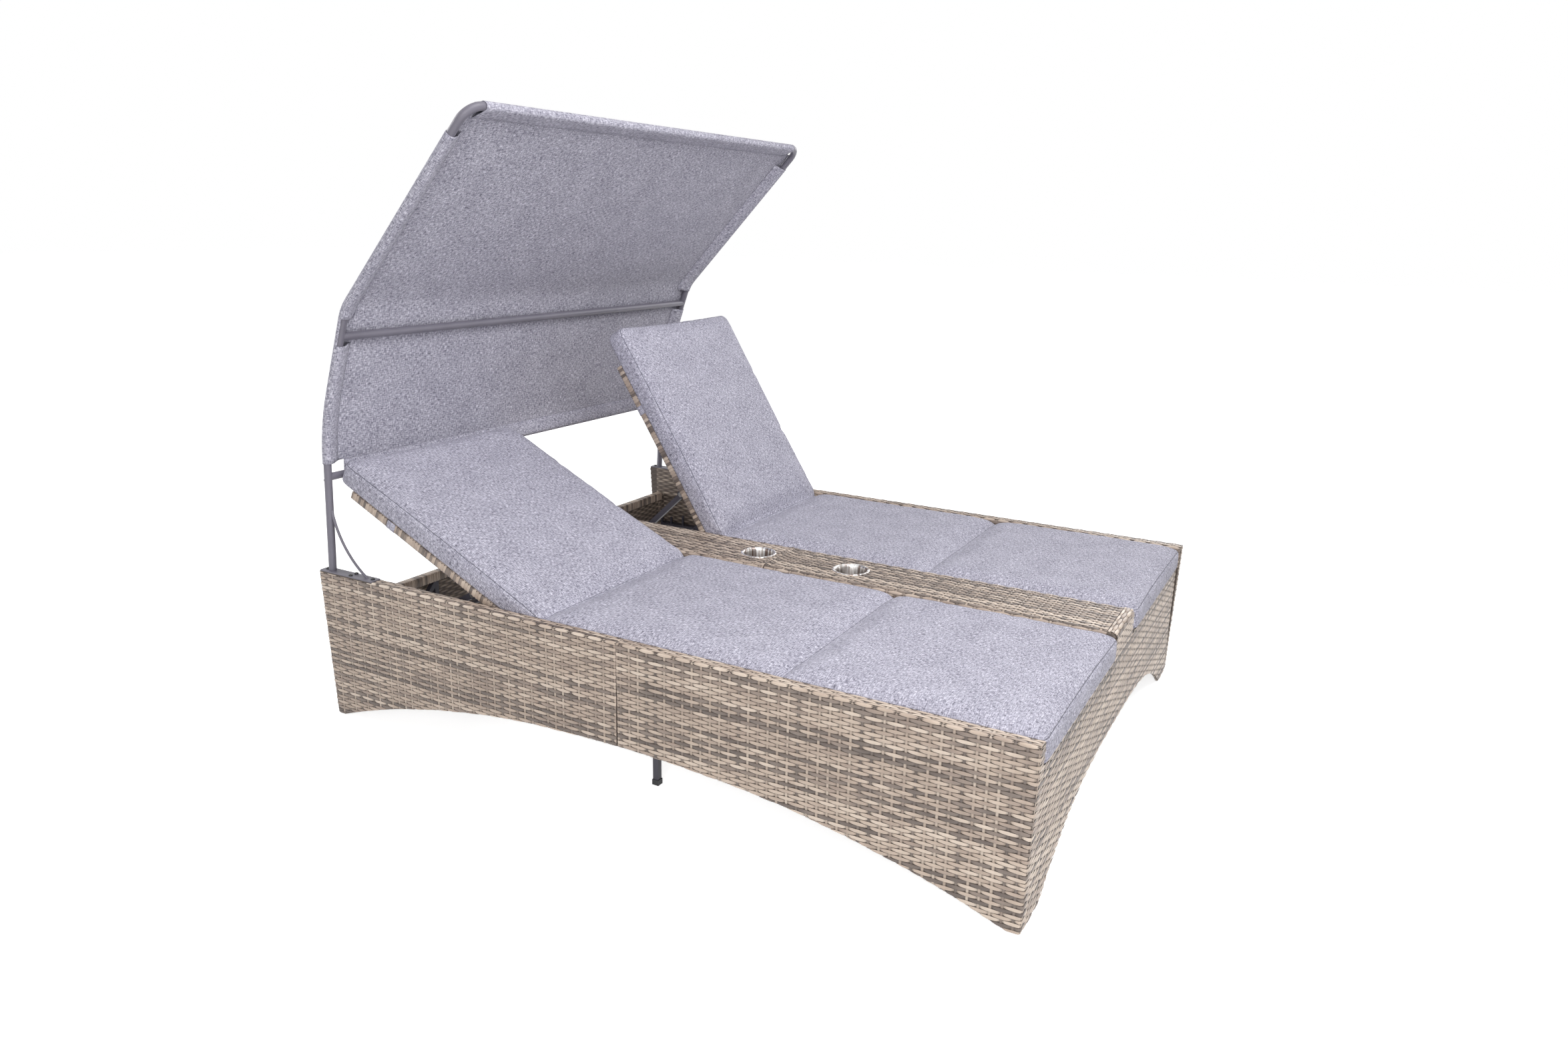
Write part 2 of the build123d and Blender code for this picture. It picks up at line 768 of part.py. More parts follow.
def prop_legs(angle):
    """Two legs from the pivots down to the foot rod, placed for one backrest angle."""
    y, z = prop_pivot(angle)
    slope = math.degrees(math.asin((z - foot_height) / prop_length))
    legs = []
    for x in leg_places():
        x0, x1 = x - prop_bar / 2, x + prop_bar / 2
        half = prop_bar / 2
        leg = block(x0, x1, 0, prop_length, -half, half)
        leg += rod_along_x(x0, x1, 0, 0, half)
        leg += rod_along_x(x0, x1, prop_length, 0, half)
        leg -= rod_along_x(x0 - overrun, x1 + overrun, 0, 0, prop_pin + pin_clearance)
        leg -= rod_along_x(x0 - overrun, x1 + overrun, prop_length, 0, foot_rod)
        legs.append(Pos(0, y, z) * Rot(-slope, 0, 0) * leg)
    return legs


def prop_foot_rod(angle):
    """The rod that stands in the rack notches, welded through both prop legs."""
    x0 = half_console + rack_thickness + foot_clearance
    x1 = frame_inner - rack_thickness - foot_clearance
    return rod_along_x(x0, x1, prop_foot(angle), foot_height, foot_rod)


def rack(x0):
    """A notched plate: a bar with upright prongs that grow taller towards the foot end."""
    head = prop_foot(notch_angles[0]) + foot_rod + prong_gap + prong_width
    tail = prop_foot(notch_angles[-1]) - foot_rod - prong_gap - prong_width
    plate = block(x0, x0 + rack_thickness, tail, head, rack_top - rack_bar_height, rack_top)
    for step, angle in enumerate(notch_angles):
        y0 = prop_foot(angle) + foot_rod + prong_gap
        top = rack_top + prong_height + prong_step * step
        plate += block(x0, x0 + rack_thickness, y0, y0 + prong_width, rack_top - foot_rod, top)
    top = rack_top + prong_height + prong_step * len(notch_angles)
    plate += block(x0, x0 + rack_thickness, tail, tail + prong_width, rack_top - foot_rod, top)
    return plate


def racks():
    """The rack on the side panel's stretcher and the one on the console wall."""
    return [rack(frame_inner - rack_thickness), rack(half_console)]


def cushion_level(x0, x1, y0, y1, z, inset):
    """One level of a cushion: sides drawn in between rounded corners."""
    x0, x1, y0, y1 = x0 + inset, x1 - inset, y0 + inset, y1 - inset
    r = cushion_corner
    xm, ym = (x0 + x1) / 2, (y0 + y1) / 2
    d = cushion_draw_in
    k = r * (1 - math.sqrt(0.5))
    edges = ThreePointArc((x0 + r, y0), (xm, y0 + d), (x1 - r, y0))
    edges += ThreePointArc((x1 - r, y0), (x1 - k, y0 + k), (x1, y0 + r))
    edges += ThreePointArc((x1, y0 + r), (x1 - d, ym), (x1, y1 - r))
    edges += ThreePointArc((x1, y1 - r), (x1 - k, y1 - k), (x1 - r, y1))
    edges += ThreePointArc((x1 - r, y1), (xm, y1 - d), (x0 + r, y1))
    edges += ThreePointArc((x0 + r, y1), (x0 + k, y1 - k), (x0, y1 - r))
    edges += ThreePointArc((x0, y1 - r), (x0 + d, ym), (x0, y0 + r))
    edges += ThreePointArc((x0, y0 + r), (x0 + k, y0 + k), (x0 + r, y0))
    return Pos(0, 0, z) * make_face(edges)


def cushion(y0, y1, z):
    """A boxed cushion of the far bed that lies on z: rolled edges and a crown on top."""
    x0, x1 = half_console + cushion_gap, panel_inner - cushion_gap
    top = z + cushion_height
    levels = [
        (z, cushion_seam_inset),
        (z + cushion_shoulder, 0),
        (top - cushion_shoulder, 0),
        (top, cushion_seam_inset),
        (top + cushion_crown * crown_share, crown_inset),
        (top + cushion_crown, crown_flat_inset),
    ]
    return loft([cushion_level(x0, x1, y0, y1, height, inset) for height, inset in levels], ruled=True)


def cushion_straps():
    """Cloth straps of the back cushion, round the outside and underside of the side tubes."""
    y0 = back_y(strap_place) - strap_width / 2
    y1 = y0 + strap_width
    low = back_z(back_underside) - cushion_clearance
    high = back_z(back_topside)
    t = strap_thickness
    pieces = []
    for side, towards in ((back_outer, 1), (back_inner, -1)):
        face = side + towards * cushion_clearance
        far = face + towards * t
        inner = side - towards * (back_tube_width + cushion_clearance)
        hook = inner - towards * t
        strap = block(min(face, far), max(face, far), y0, y1, low - t, high)
        strap += block(min(hook, far), max(hook, far), y0, y1, low - t, low)
        strap += block(min(hook, inner), max(hook, inner), y0, y1, low - t, low + back_tube_height / 2)
        pieces.append(strap)
    return pieces


def on_plate(place):
    """A point on top of the canopy base plate, as Y and Z."""
    return (place, plate_top)


def post_line(z):
    """Y of the canopy post at a height: it leans a little towards the foot."""
    share = (z - plate_top) / (sweep_bend[1] - plate_top)
    return post_place + (sweep_bend[0] - post_place) * share


def middle_line(z):
    """Y of the side tube between its two bends at a height."""
    share = (z - sweep_bend[1]) / (kink_bend[1] - sweep_bend[1])
    return sweep_bend[0] + (kink_bend[0] - sweep_bend[0]) * share


def towards(a, b, distance):
    """The point at a distance from a on the way to b."""
    reach = math.dist(a, b)
    return (a[0] + (b[0] - a[0]) * distance / reach, a[1] + (b[1] - a[1]) * distance / reach)


def side_path(start_z, stop_before):
    """Middle line of the side tube from a height up to a distance before the front corner."""
    start = (post_line(start_z), start_z)
    stop = towards(front_corner, kink_bend, stop_before)
    line = FilletPolyline(start, sweep_bend, kink_bend, stop, radius=[sweep_radius, kink_radius])
    return Pos(canopy_side, 0, 0) * (Plane.YZ * line)


def swept(path, radius):
    """A round bar along a path that starts in the YZ plane."""
    start = Plane(origin=path @ 0, z_dir=path % 0)
    return sweep(start * Circle(radius), path=path)


def side_tube():
    """Bent tube from the post up over the kink to the front bar, with a spigot at both ends."""
    inner = canopy_tube - canopy_wall
    with_spigots = side_path(post_top - spigot_length, elbow_radius + elbow_tail - front_spigot)
    body = swept(side_path(post_top, elbow_radius + elbow_tail), canopy_tube)
    body += swept(with_spigots, inner - spigot_clearance)
    return body - swept(with_spigots, inner - spigot_clearance - canopy_wall)


def post():
    """Round post that stands on the base plate."""
    low = (canopy_side, post_line(plate_top), plate_top)
    high = (canopy_side, post_line(post_top), post_top)
    return tube_between(low, high)


def tube_between(a, b):
    """A straight round canopy tube between two points, cut level at a base plate."""
    axis = Vector(*b) - Vector(*a)
    plane = Plane(origin=a, z_dir=axis)
    reach = axis.length
    outer = plane * Pos(0, 0, reach / 2 - overrun / 2) * Cylinder(canopy_tube, reach + overrun)
    inner = plane * Pos(0, 0, reach / 2) * Cylinder(canopy_tube - canopy_wall, reach + overrun)
    return (outer - inner) & block(0, width, 0, length, plate_top, length)


def brace_rod():
    """Bent rod from the post down to the base plate."""
    line = ThreePointArc(brace_top, brace_middle, on_plate(brace_foot))
    path = Pos(canopy_side, 0, 0) * (Plane.YZ * line)
    rod = swept(path, brace)
    rod += Pos(*(path @ 0)) * Sphere(brace)
    rod += Pos(canopy_side, brace_foot, plate_top) * Sphere(brace)
    solid_post = post_envelope(0)
    return (rod & block(0, width, 0, length, plate_top, length)) - solid_post


def post_envelope(room):
    """The solid cylinder that the post fills, for cutting what butts against it."""
    a = Vector(canopy_side, post_line(plate_top), plate_top)
    b = Vector(canopy_side, post_line(post_top), post_top)
    axis = b - a
    return Plane(origin=a, z_dir=axis) * Pos(0, 0, axis.length / 2) * Cylinder(
        canopy_tube + room, axis.length + overrun)


def base_plate():
    """Flat plate bolted to the top of the side panel."""
    x0, x1 = panel_inner + cushion_clearance, half_width - cushion_clearance
    plate = block(x0, x1, half_length - plate_length, half_length, side_height, plate_top)
    plate = fillet(plate.edges().filter_by(Axis.Z), plate_corner)
    return plate - plate_bolt_holes(1)


def button_bolt():
    """A button-head bolt with its head on Z = 0 and its shank downwards."""
    head = Cylinder(bolt_head, bolt_head_height, align=(Align.CENTER, Align.CENTER, Align.MIN))
    head = fillet(head.edges().group_by(Axis.Z)[-1], bolt_head_round)
    socket = extrude(RegularPolygon(bolt_socket, 6), amount=bolt_head_height)
    head -= Pos(0, 0, bolt_head_height - bolt_socket) * socket
    shank = Cylinder(bolt, bolt_length, align=(Align.CENTER, Align.CENTER, Align.MAX))
    return head + shank


def plate_bolts():
    """The bolts that hold a base plate to the side panel's top rail."""
    return [Pos(x, y, plate_top) * button_bolt() for x, y in plate_bolt_places()]


def post_screws():
    """The screw that holds post and side tube together, on the head side of the post."""
    y = post_line(screw_height)
    screw = Pos(canopy_side, y + canopy_tube - canopy_wall, screw_height) * Rot(-90, 0, 0) * button_bolt()
    return screw - post_envelope(0)


def lower_bar():
    """Straight bar between the posts at the lower hem."""
    y = post_line(lower_bar_height)
    bar = rod_along_x(-canopy_side, canopy_side, y, lower_bar_height, canopy_tube)
    bar -= rod_along_x(-canopy_side, canopy_side, y, lower_bar_height, canopy_tube - canopy_wall)
    return bar - post_envelope(0) - mirrored(post_envelope(0))


def stub(inner_end):
    """A stub of the middle crossbar, butted against the side tube."""
    y = middle_line(middle_bar_height)
    bar = rod_along_x(inner_end, canopy_side, y, middle_bar_height, canopy_tube)
    bar -= rod_along_x(inner_end - overrun, canopy_side + overrun, y, middle_bar_height,
                       canopy_tube - canopy_wall)
    return bar - swept(side_path(post_top, elbow_radius + elbow_tail), canopy_tube + weld_gap)


def middle_bar(inner_end):
    """The middle length of the crossbar, with spigots that slide into the stubs."""
    y = middle_line(middle_bar_height)
    spigot = canopy_tube - canopy_wall - spigot_clearance
    bar = rod_along_x(-inner_end, inner_end, y, middle_bar_height, canopy_tube)
    bar += rod_along_x(-inner_end - spigot_length, inner_end + spigot_length, y, middle_bar_height, spigot)
    return bar - rod_along_x(-width, width, y, middle_bar_height, spigot - canopy_wall)


def front_bar():
    """Front bar with a round elbow at each end and a short tail down to the side tube."""
    tail = towards(front_corner, kink_bend, elbow_radius + elbow_tail)
    points = [(canopy_side, *tail), (canopy_side, *front_corner), (-canopy_side, *front_corner),
              (-canopy_side, *tail)]
    path = FilletPolyline(*points, radius=elbow_radius)
    return swept(path, canopy_tube) - swept(path, canopy_tube - canopy_wall)


def shifted(points, distance):
    """A polyline moved sideways by a distance, away from the beds."""
    lines = []
    for a, b in zip(points[:-1], points[1:]):
        reach = math.dist(a, b)
        normal = ((b[1] - a[1]) / reach * distance, -(b[0] - a[0]) / reach * distance)
        lines.append(((a[0] + normal[0], a[1] + normal[1]), (b[0] + normal[0], b[1] + normal[1])))
    moved = [lines[0][0]]
    for (a, b), (c, d) in zip(lines[:-1], lines[1:]):
        moved.append(crossing(a, b, c, d))
    return moved + [lines[-1][1]]


def crossing(a, b, c, d):
    """Where the line through a and b meets the line through c and d."""
    u = (b[0] - a[0], b[1] - a[1])
    v = (d[0] - c[0], d[1] - c[1])
    t = ((c[0] - a[0]) * v[1] - (c[1] - a[1]) * v[0]) / (u[0] * v[1] - u[1] * v[0])
    return (a[0] + u[0] * t, a[1] + u[1] * t)


def cloth_sheet():
    """The stretched cloth itself: up behind the beds, round the kink and forwards to the front bar."""
    line = [(post_line(lower_bar_height), lower_bar_height), sweep_bend, kink_bend, front_corner]
    inner = shifted(line, cloth_inner)
    outer = shifted(line, cloth_inner + cloth_thickness)
    radii = [sweep_radius + cloth_inner, kink_radius + cloth_inner]
    outer_radii = [r + cloth_thickness for r in radii]
    edges = FilletPolyline(*inner, radius=radii) + Polyline(inner[-1], outer[-1])
    edges += FilletPolyline(*outer, radius=outer_radii) + Polyline(outer[0], inner[0])
    return outline_sheet(edges, -canopy_side, canopy_side)


def ring_along_x(x0, x1, y, z):
    """A cloth sleeve round a crossbar."""
    outer = rod_along_x(x0, x1, y, z, canopy_tube + sleeve_clearance + sleeve_thickness)
    return outer - rod_along_x(x0 - overrun, x1 + overrun, y, z, canopy_tube + sleeve_clearance)


def side_sleeve():
    """The cloth sleeve round one side tube, open at the inside where the crossbar passes."""
    stop = elbow_radius + sleeve_end_gap
    bore = canopy_tube + sleeve_clearance
    sleeve = swept(side_path(sleeve_start, stop), bore + sleeve_thickness)
    sleeve -= swept(side_path(sleeve_start - overrun, stop - overrun), bore)
    y = middle_line(middle_bar_height)
    opening = rod_along_x(canopy_side - panel_depth, canopy_side, y, middle_bar_height, stub_opening)
    return sleeve - opening


def corner_holes():
    """What is cut from the sheet: round holes at the front corners and notches at the lower hem."""
    slope = (front_corner[0] - kink_bend[0], front_corner[1] - kink_bend[1])
    holes = []
    for side in (1, -1):
        centre = Plane(origin=(side * canopy_side, *front_corner), z_dir=(0, slope[1], -slope[0]))
        holes.append(centre * Cylinder(corner_cut, corner_cut))
        edge = canopy_side - hem_inset
        x0, x1 = (edge, width) if side > 0 else (-width, -edge)
        low = lower_bar_height - hem_notch
        notch = block(x0, x1, 0, length, low, sleeve_start - notch_below_sleeve)
        upright_edges = notch.edges().filter_by(Axis.Y).group_by(Axis.Z)[-1]
        holes.append(fillet(upright_edges, notch_round))
    return holes


def canopy_cloth():
    """The whole canopy cover: sheet, side sleeves, front sleeve and the hem round the lower bar."""
    cloth = cloth_sheet()
    bore = canopy_tube + sleeve_clearance
    for hole in corner_holes():
        cloth -= hole
    sleeve = side_sleeve()
    cloth += sleeve
    cloth += mirrored(sleeve)
    reach = canopy_side - elbow_radius - front_sleeve_gap
    cloth += ring_along_x(-reach, reach, *front_corner)
    hem = canopy_side - hem_inset
    lower = post_line(lower_bar_height)
    cloth += ring_along_x(-hem, hem, lower, lower_bar_height)
    inside = swept(side_path(sleeve_start - overrun, elbow_radius), bore)
    cloth -= inside
    cloth -= mirrored(inside)
    cloth -= rod_along_x(-width, width, *front_corner, bore)
    return cloth - rod_along_x(-width, width, lower, lower_bar_height, bore)


def module_bolts():
    """Bolts that hold the head and foot halves of the far side panel together."""
    pieces = []
    y = seam_gap / 2 + seam_gap + tube
    for z in (band_bottom - tube, upright_foot + tube):
        x = frame_inner + tube / 2
        rod = Pos(x, 0, z) * Rot(90, 0, 0) * Cylinder(bolt, y + y)
        head = Pos(x, y + bolt_head_height / 2, z) * Rot(90, 0, 0) * Cylinder(bolt_head, bolt_head_height)
        nut = Pos(x, -y - bolt_head_height / 2, z) * Rot(90, 0, 0) * extrude(
            RegularPolygon(bolt_head, 6), amount=bolt_head_height / 2, both=True)
        pieces.append(rod + head + nut)
    return pieces


def module_bolt_room():
    """Clearance for the module bolts through the upright tubes at the seam."""
    room = Part()
    for z in (band_bottom - tube, upright_foot + tube):
        room += Pos(frame_inner + tube / 2, 0, z) * Rot(90, 0, 0) * Cylinder(
            bolt + bolt_hole_clearance, bolt_room_length)
    return room


def write(name, shapes):
    """Write one node to its own file, from one shape or a list of separate solids."""
    pieces = shapes if isinstance(shapes, list) else [shapes]
    solids = []
    for piece in pieces:
        solids += piece.solids()
    export_step(Compound(children=solids), os.path.join("parts", name + ".step"))


def both_sides(shapes):
    """The far pieces and their mirror images, in one list."""
    return shapes + [mirrored(piece) for piece in shapes]


def write_bed(bed, angle, place):
    """Everything that belongs to one bed. place puts a far piece on the right side."""
    write(bed + "_seat_deck", place(deck_cover()))
    write(bed + "_deck_frame", [place(piece) for piece in deck_frame()])
    write(bed + "_backrest_frame", [place(raised(piece, angle)) for piece in back_frame()])
    write(bed + "_backrest_weave", place(raised(back_cover(), angle)))
    ears, pins = prop_ears()
    write(bed + "_prop_ears", [place(raised(piece, angle)) for piece in ears])
    write(bed + "_prop_pins", [place(raised(piece, angle)) for piece in pins])
    write(bed + "_prop_legs", [place(piece) for piece in prop_legs(angle)])
    write(bed + "_prop_foot_rod", place(prop_foot_rod(angle)))
    top = back_z(back_topside) + cushion_clearance
    back = cushion(back_y(back_cushion_start), back_y(back_cushion_end), top)
    write(bed + "_back_cushion", place(raised(back, angle)))
    write(bed + "_cushion_straps", [place(raised(piece, angle)) for piece in cushion_straps()])
    on_deck = deck_top + cushion_clearance
    write(bed + "_seat_cushion", place(cushion(fold_place + fold_gap / 2, seat_end, on_deck)))
    write(bed + "_leg_cushion", place(cushion(-half_length, fold_place - fold_gap / 2, on_deck)))


def write_side(side, place):
    """The woven side panel and the bent canopy tube on one side of the lounger."""
    write(side + "_head_side_panel", place(side_cover(1)))
    write(side + "_foot_side_panel", place(side_cover(-1)))
    write(side + "_canopy_side_tube", place(side_tube()))


def write_base():
    """Console, end panels and the pieces that are the same on both sides of the base."""
    write("console_head_cover", console_cover(1, head_cup_place))
    write("console_foot_cover", console_cover(-1, foot_cup_place))
    write("console_frame", console_frame())
    write("head_cup", cup(head_cup_place))
    write("foot_cup", cup(foot_cup_place))
    covers, tubes = end_panels()
    for name, cover in covers.items():
        write(name, cover)
    write("end_panel_frames", tubes)
    write("seam_clips", seam_clips())
    room = module_bolt_room()
    write("side_panel_frames", both_sides([piece - room for piece in side_frame()]))
    write("module_bolts", both_sides(module_bolts()))
    write("corner_glides", both_sides(glides()))
    legs, caps = middle_legs()
    write("middle_legs", both_sides(legs))
    write("leg_caps", both_sides(caps))
    write("hinge_plates", both_sides(hinge_plates()))
    write("hinge_pins", both_sides(hinge_pins()))
    write("racks", both_sides(racks()))


def write_canopy():
    """Canopy posts, crossbars and cloth."""
    inner_end = canopy_side - stub_length
    write("base_plates", both_sides([base_plate()]))
    write("plate_bolts", both_sides(plate_bolts()))
    write("canopy_posts", both_sides([post()]))
    write("post_screws", both_sides([post_screws()]))
    write("brace_rods", both_sides([brace_rod()]))
    write("lower_crossbar", lower_bar())
    write("middle_crossbar", middle_bar(inner_end))
    write("crossbar_stubs", both_sides([stub(inner_end)]))
    write("front_bar", front_bar())
    write("canopy_cloth", canopy_cloth())


def main():
    os.makedirs("parts", exist_ok=True)
    write_side("far", lambda shape: shape)
    write_side("near", mirrored)
    write_bed("far", far_angle, lambda shape: shape)
    write_bed("near", near_angle, mirrored)
    write_base()
    write_canopy()


main()
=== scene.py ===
# %% [markdown]
# # A double sun lounger, dressed for a photograph
# The object is a woven garden lounger for two: two beds with tilting backrests, a console with
# two cup holders between them, and one bent tube frame that carries a cloth canopy. The steel,
# the hinges and the covers come from the CAD model, which is loaded first and never changed.
# What a CAD solid can't show is made here: the flat plastic strands of the weave, the sewn
# mattresses and the canopy cloth. Everything is in metres, so sizes are written as
# millimetres times MM.

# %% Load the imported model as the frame
import json
import math

import bmesh
import bpy
import numpy as np
from mathutils import Matrix, Vector

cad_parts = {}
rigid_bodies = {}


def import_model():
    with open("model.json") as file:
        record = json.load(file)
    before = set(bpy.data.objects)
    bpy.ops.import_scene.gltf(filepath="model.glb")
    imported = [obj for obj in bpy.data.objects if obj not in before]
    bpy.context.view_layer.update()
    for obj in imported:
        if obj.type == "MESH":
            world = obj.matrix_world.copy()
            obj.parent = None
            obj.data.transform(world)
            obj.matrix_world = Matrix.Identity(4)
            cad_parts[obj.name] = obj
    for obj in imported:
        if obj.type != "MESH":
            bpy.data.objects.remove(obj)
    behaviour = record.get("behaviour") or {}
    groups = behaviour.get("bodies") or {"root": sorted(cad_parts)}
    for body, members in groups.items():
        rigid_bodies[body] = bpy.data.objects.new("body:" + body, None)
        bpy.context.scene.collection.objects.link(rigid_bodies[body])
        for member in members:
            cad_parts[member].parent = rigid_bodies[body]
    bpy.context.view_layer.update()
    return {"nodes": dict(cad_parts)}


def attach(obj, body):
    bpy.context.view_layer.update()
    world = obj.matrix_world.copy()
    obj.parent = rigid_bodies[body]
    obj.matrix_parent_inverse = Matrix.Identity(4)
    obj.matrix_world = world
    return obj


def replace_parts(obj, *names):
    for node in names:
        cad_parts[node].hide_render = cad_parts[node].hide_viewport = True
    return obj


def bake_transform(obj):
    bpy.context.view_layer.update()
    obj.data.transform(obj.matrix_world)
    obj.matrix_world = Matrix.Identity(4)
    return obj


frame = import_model()
MM = 0.001

# %% [markdown]
# ## The camera
# The photograph was taken from low on the near side of the foot end with a short lens, so the
# near panel looks long and the far bed small. The place and the three turns of the camera were
# worked out from points of the frame that show in the picture. A camera looks along its own
# -Z, so the columns of its matrix are its right, its up and the direction behind it.

# %% Camera
PHOTO_WIDTH = 2349
FOCAL_PIXELS = 1634.5
CAMERA_PLACE = (-2.6265, -1.4219, 1.3455)
YAW, PITCH, ROLL = (math.radians(turn) for turn in (-61.73, 15.67, 1.35))

behind = Vector((math.sin(YAW) * math.cos(PITCH), -math.cos(YAW) * math.cos(PITCH), math.sin(PITCH)))
level_right = (-behind).cross(Vector((0, 0, 1))).normalized()
level_up = level_right.cross(-behind)
right = math.cos(ROLL) * level_right + math.sin(ROLL) * level_up
up = -math.sin(ROLL) * level_right + math.cos(ROLL) * level_up

lens = bpy.data.cameras.new("camera")
lens.sensor_width = 36.0
lens.lens = lens.sensor_width * FOCAL_PIXELS / PHOTO_WIDTH
camera = bpy.data.objects.new("camera", lens)
camera.matrix_world = Matrix.Translation(CAMERA_PLACE) @ Matrix((right, up, behind)).transposed().to_4x4()
bpy.context.collection.objects.link(camera)
bpy.context.scene.camera = camera
print("lens in mm:", round(lens.lens, 2))

# %% [markdown]
# ## Material tools
# Materials are node trees. Colours are written as the hex values a painter would pick and
# turned into the linear numbers that Blender mixes light with. `node` adds any node in one
# line, with its options and what goes into it, so a recipe reads from the coordinates at the
# top to the colour, the roughness and the bump at the bottom.

# %% Helpers for materials
def linear(hex_colour):
    """A hex colour as linear red, green, blue and 1."""
    parts = [int(hex_colour[i:i + 2], 16) / 255 for i in (1, 3, 5)]
    return [c / 12.92 if c <= 0.04045 else ((c + 0.055) / 1.055) ** 2.4 for c in parts] + [1.0]


def plug(tree, value, socket):
    """Link an output to a socket, or set the socket's own value. A node stands for its first output."""
    if hasattr(value, "outputs"):
        value = [output for output in value.outputs if output.enabled][0]
    if hasattr(value, "links"):
        tree.links.new(value, socket)
    elif value is not None:
        socket.default_value = value


def node(tree, kind, *inputs, stops=(), **settings):
    """Add a node, set its options and fill the inputs in use in order. None leaves one alone."""
    new = tree.nodes.new("ShaderNode" + kind)
    for key, value in settings.items():
        setattr(new, key, value)
    for value, socket in zip(inputs, [socket for socket in new.inputs if socket.enabled]):
        plug(tree, value, socket)
    if stops:
        elements = new.color_ramp.elements
        while len(elements) < len(stops):
            elements.new(0.5)
        for element, (place, colour) in zip(elements, stops):
            element.position = place
            element.color = linear(colour)
    return new


def new_material(name, **numbers):
    """A material, its node tree, and its shader's inputs, some of them set to these numbers."""
    material = bpy.data.materials.new(name)
    material.use_nodes = True
    inputs = material.node_tree.nodes["Principled BSDF"].inputs
    for key, value in numbers.items():
        inputs[key.replace("_", " ")].default_value = value
    return material, material.node_tree, inputs


# %% [markdown]
# ## Floor and light
# The photograph was taken on white with light from all round, strongest from the camera's left
# and from above. The floor is a plain pale sheet that still takes the object's shadow: what
# the camera sees of it is partly lit and partly its own white. The world is white to the
# camera and in reflections, and only a soft grey light on the object itself. Two more lamps,
# behind the canopy and on the far side, keep the sides that the photograph doesn't show from
# going dull. They stand where no level surface mirrors them into the camera.

# %% Floor
FLOOR_SIZE = 60
FLOOR_GLOW = 0.78


def shows_white(tree):
    """1 for a ray from the camera, and for one that gloss or glass sends on, and else 0."""
    rays = node(tree, "LightPath").outputs
    sent_on = node(tree, "Math", rays["Is Glossy Ray"], rays["Is Transmission Ray"], operation="MAXIMUM")
    return node(tree, "Math", rays["Is Camera Ray"], sent_on, operation="MAXIMUM")


bpy.ops.mesh.primitive_plane_add(size=FLOOR_SIZE)
floor = bpy.context.object
floor.name = "floor"
pale_floor, tree, inputs = new_material("pale_studio_floor", Roughness=0.9, Specular_IOR_Level=0.1)
inputs["Base Color"].default_value = linear("#EDEDED")
inputs["Emission Color"].default_value = (1, 1, 1, 1)
glow = node(tree, "Math", shows_white(tree), FLOOR_GLOW, operation="MULTIPLY")
plug(tree, glow, inputs["Emission Strength"])
floor.data.materials.append(pale_floor)

# %% World and lamps
WORLD_ON_OBJECT, WORLD_SEEN = 0.27, 1.0

world = bpy.data.worlds.new("studio")
world.use_nodes = True
bpy.context.scene.world = world
sky = world.node_tree
strength = node(sky, "Mix", shows_white(sky), WORLD_ON_OBJECT, WORLD_SEEN, data_type="FLOAT")
sky.nodes["Background"].inputs["Color"].default_value = (1, 1, 1, 1)
plug(sky, strength, sky.nodes["Background"].inputs["Strength"])


def soft_lamp(name, place, target, size, watts):
    """A square area lamp aimed at a point."""
    lamp = bpy.data.lights.new(name, "AREA")
    lamp.shape, lamp.size, lamp.energy = "SQUARE", size, watts
    obj = bpy.data.objects.new(name, lamp)
    obj.location = place
    obj.rotation_euler = (Vector(target) - Vector(place)).to_track_quat("-Z", "Y").to_euler()
    bpy.context.collection.objects.link(obj)


soft_lamp("key_lamp", (-4.2, -2.0, 2.0), (-0.2, -0.2, 0.3), 1.6, 86)
soft_lamp("top_lamp", (-0.7, -1.5, 3.0), (-0.3, -0.5, 0.3), 1.8, 67)
soft_lamp("back_lamp", (-1.2, 5.0, 2.8), (0, 0.6, 0.6), 2.5, 110)
soft_lamp("far_lamp", (4.6, -0.9, 2.2), (0.4, 0, 0.3), 2.5, 70)
bpy.context.scene.view_settings.view_transform = "Standard"

# %% [markdown]
# ## Hard finishes
# The steel frame is powder coated in a slate grey with a violet tinge. Powder coat is not
# quite smooth: it has a fine orange peel, which the eye reads as a soft, broken highlight.
# Bolts are blackened and a little greasy, pins are bare turned steel, and the feet are moulded
# black plastic. All of them have patches of slightly different colour, a hand or a thumb wide,
# and a grain of about a millimetre or less, so one recipe serves. The grain of all of them is
# too fine to show when the whole lounger is in view, and is left at its real size.

# %% Powder coat, black bolts, plain pins and plastic feet
EVEN = (1, 1, 1)


def hard_finish(name, sizes, details, stops, depth, stretches=(EVEN, EVEN), gloss=0.0, **numbers):
    """A finish with patches in its colour and a grain in its bump. sizes are theirs in metres.
    A stretch under 1 draws them out along that axis, and gloss lets roughness follow the patches."""
    material, tree, inputs = new_material(name, **numbers)
    where = node(tree, "TexCoord").outputs["Object"]
    patches, grain = (
        node(tree, "TexNoise", node(tree, "Mapping", where, None, None, stretch), 1 / size, detail)
        for size, detail, stretch in zip(sizes, details, stretches))
    plug(tree, node(tree, "ValToRGB", patches, stops=stops), inputs["Base Color"])
    plug(tree, node(tree, "Bump", 1.0, depth, None, grain), inputs["Normal"])
    if gloss:
        smoothest = numbers["Roughness"] - gloss / 2
        rough = node(tree, "Math", patches, gloss, smoothest, operation="MULTIPLY_ADD")
        plug(tree, rough, inputs["Roughness"])
    return material


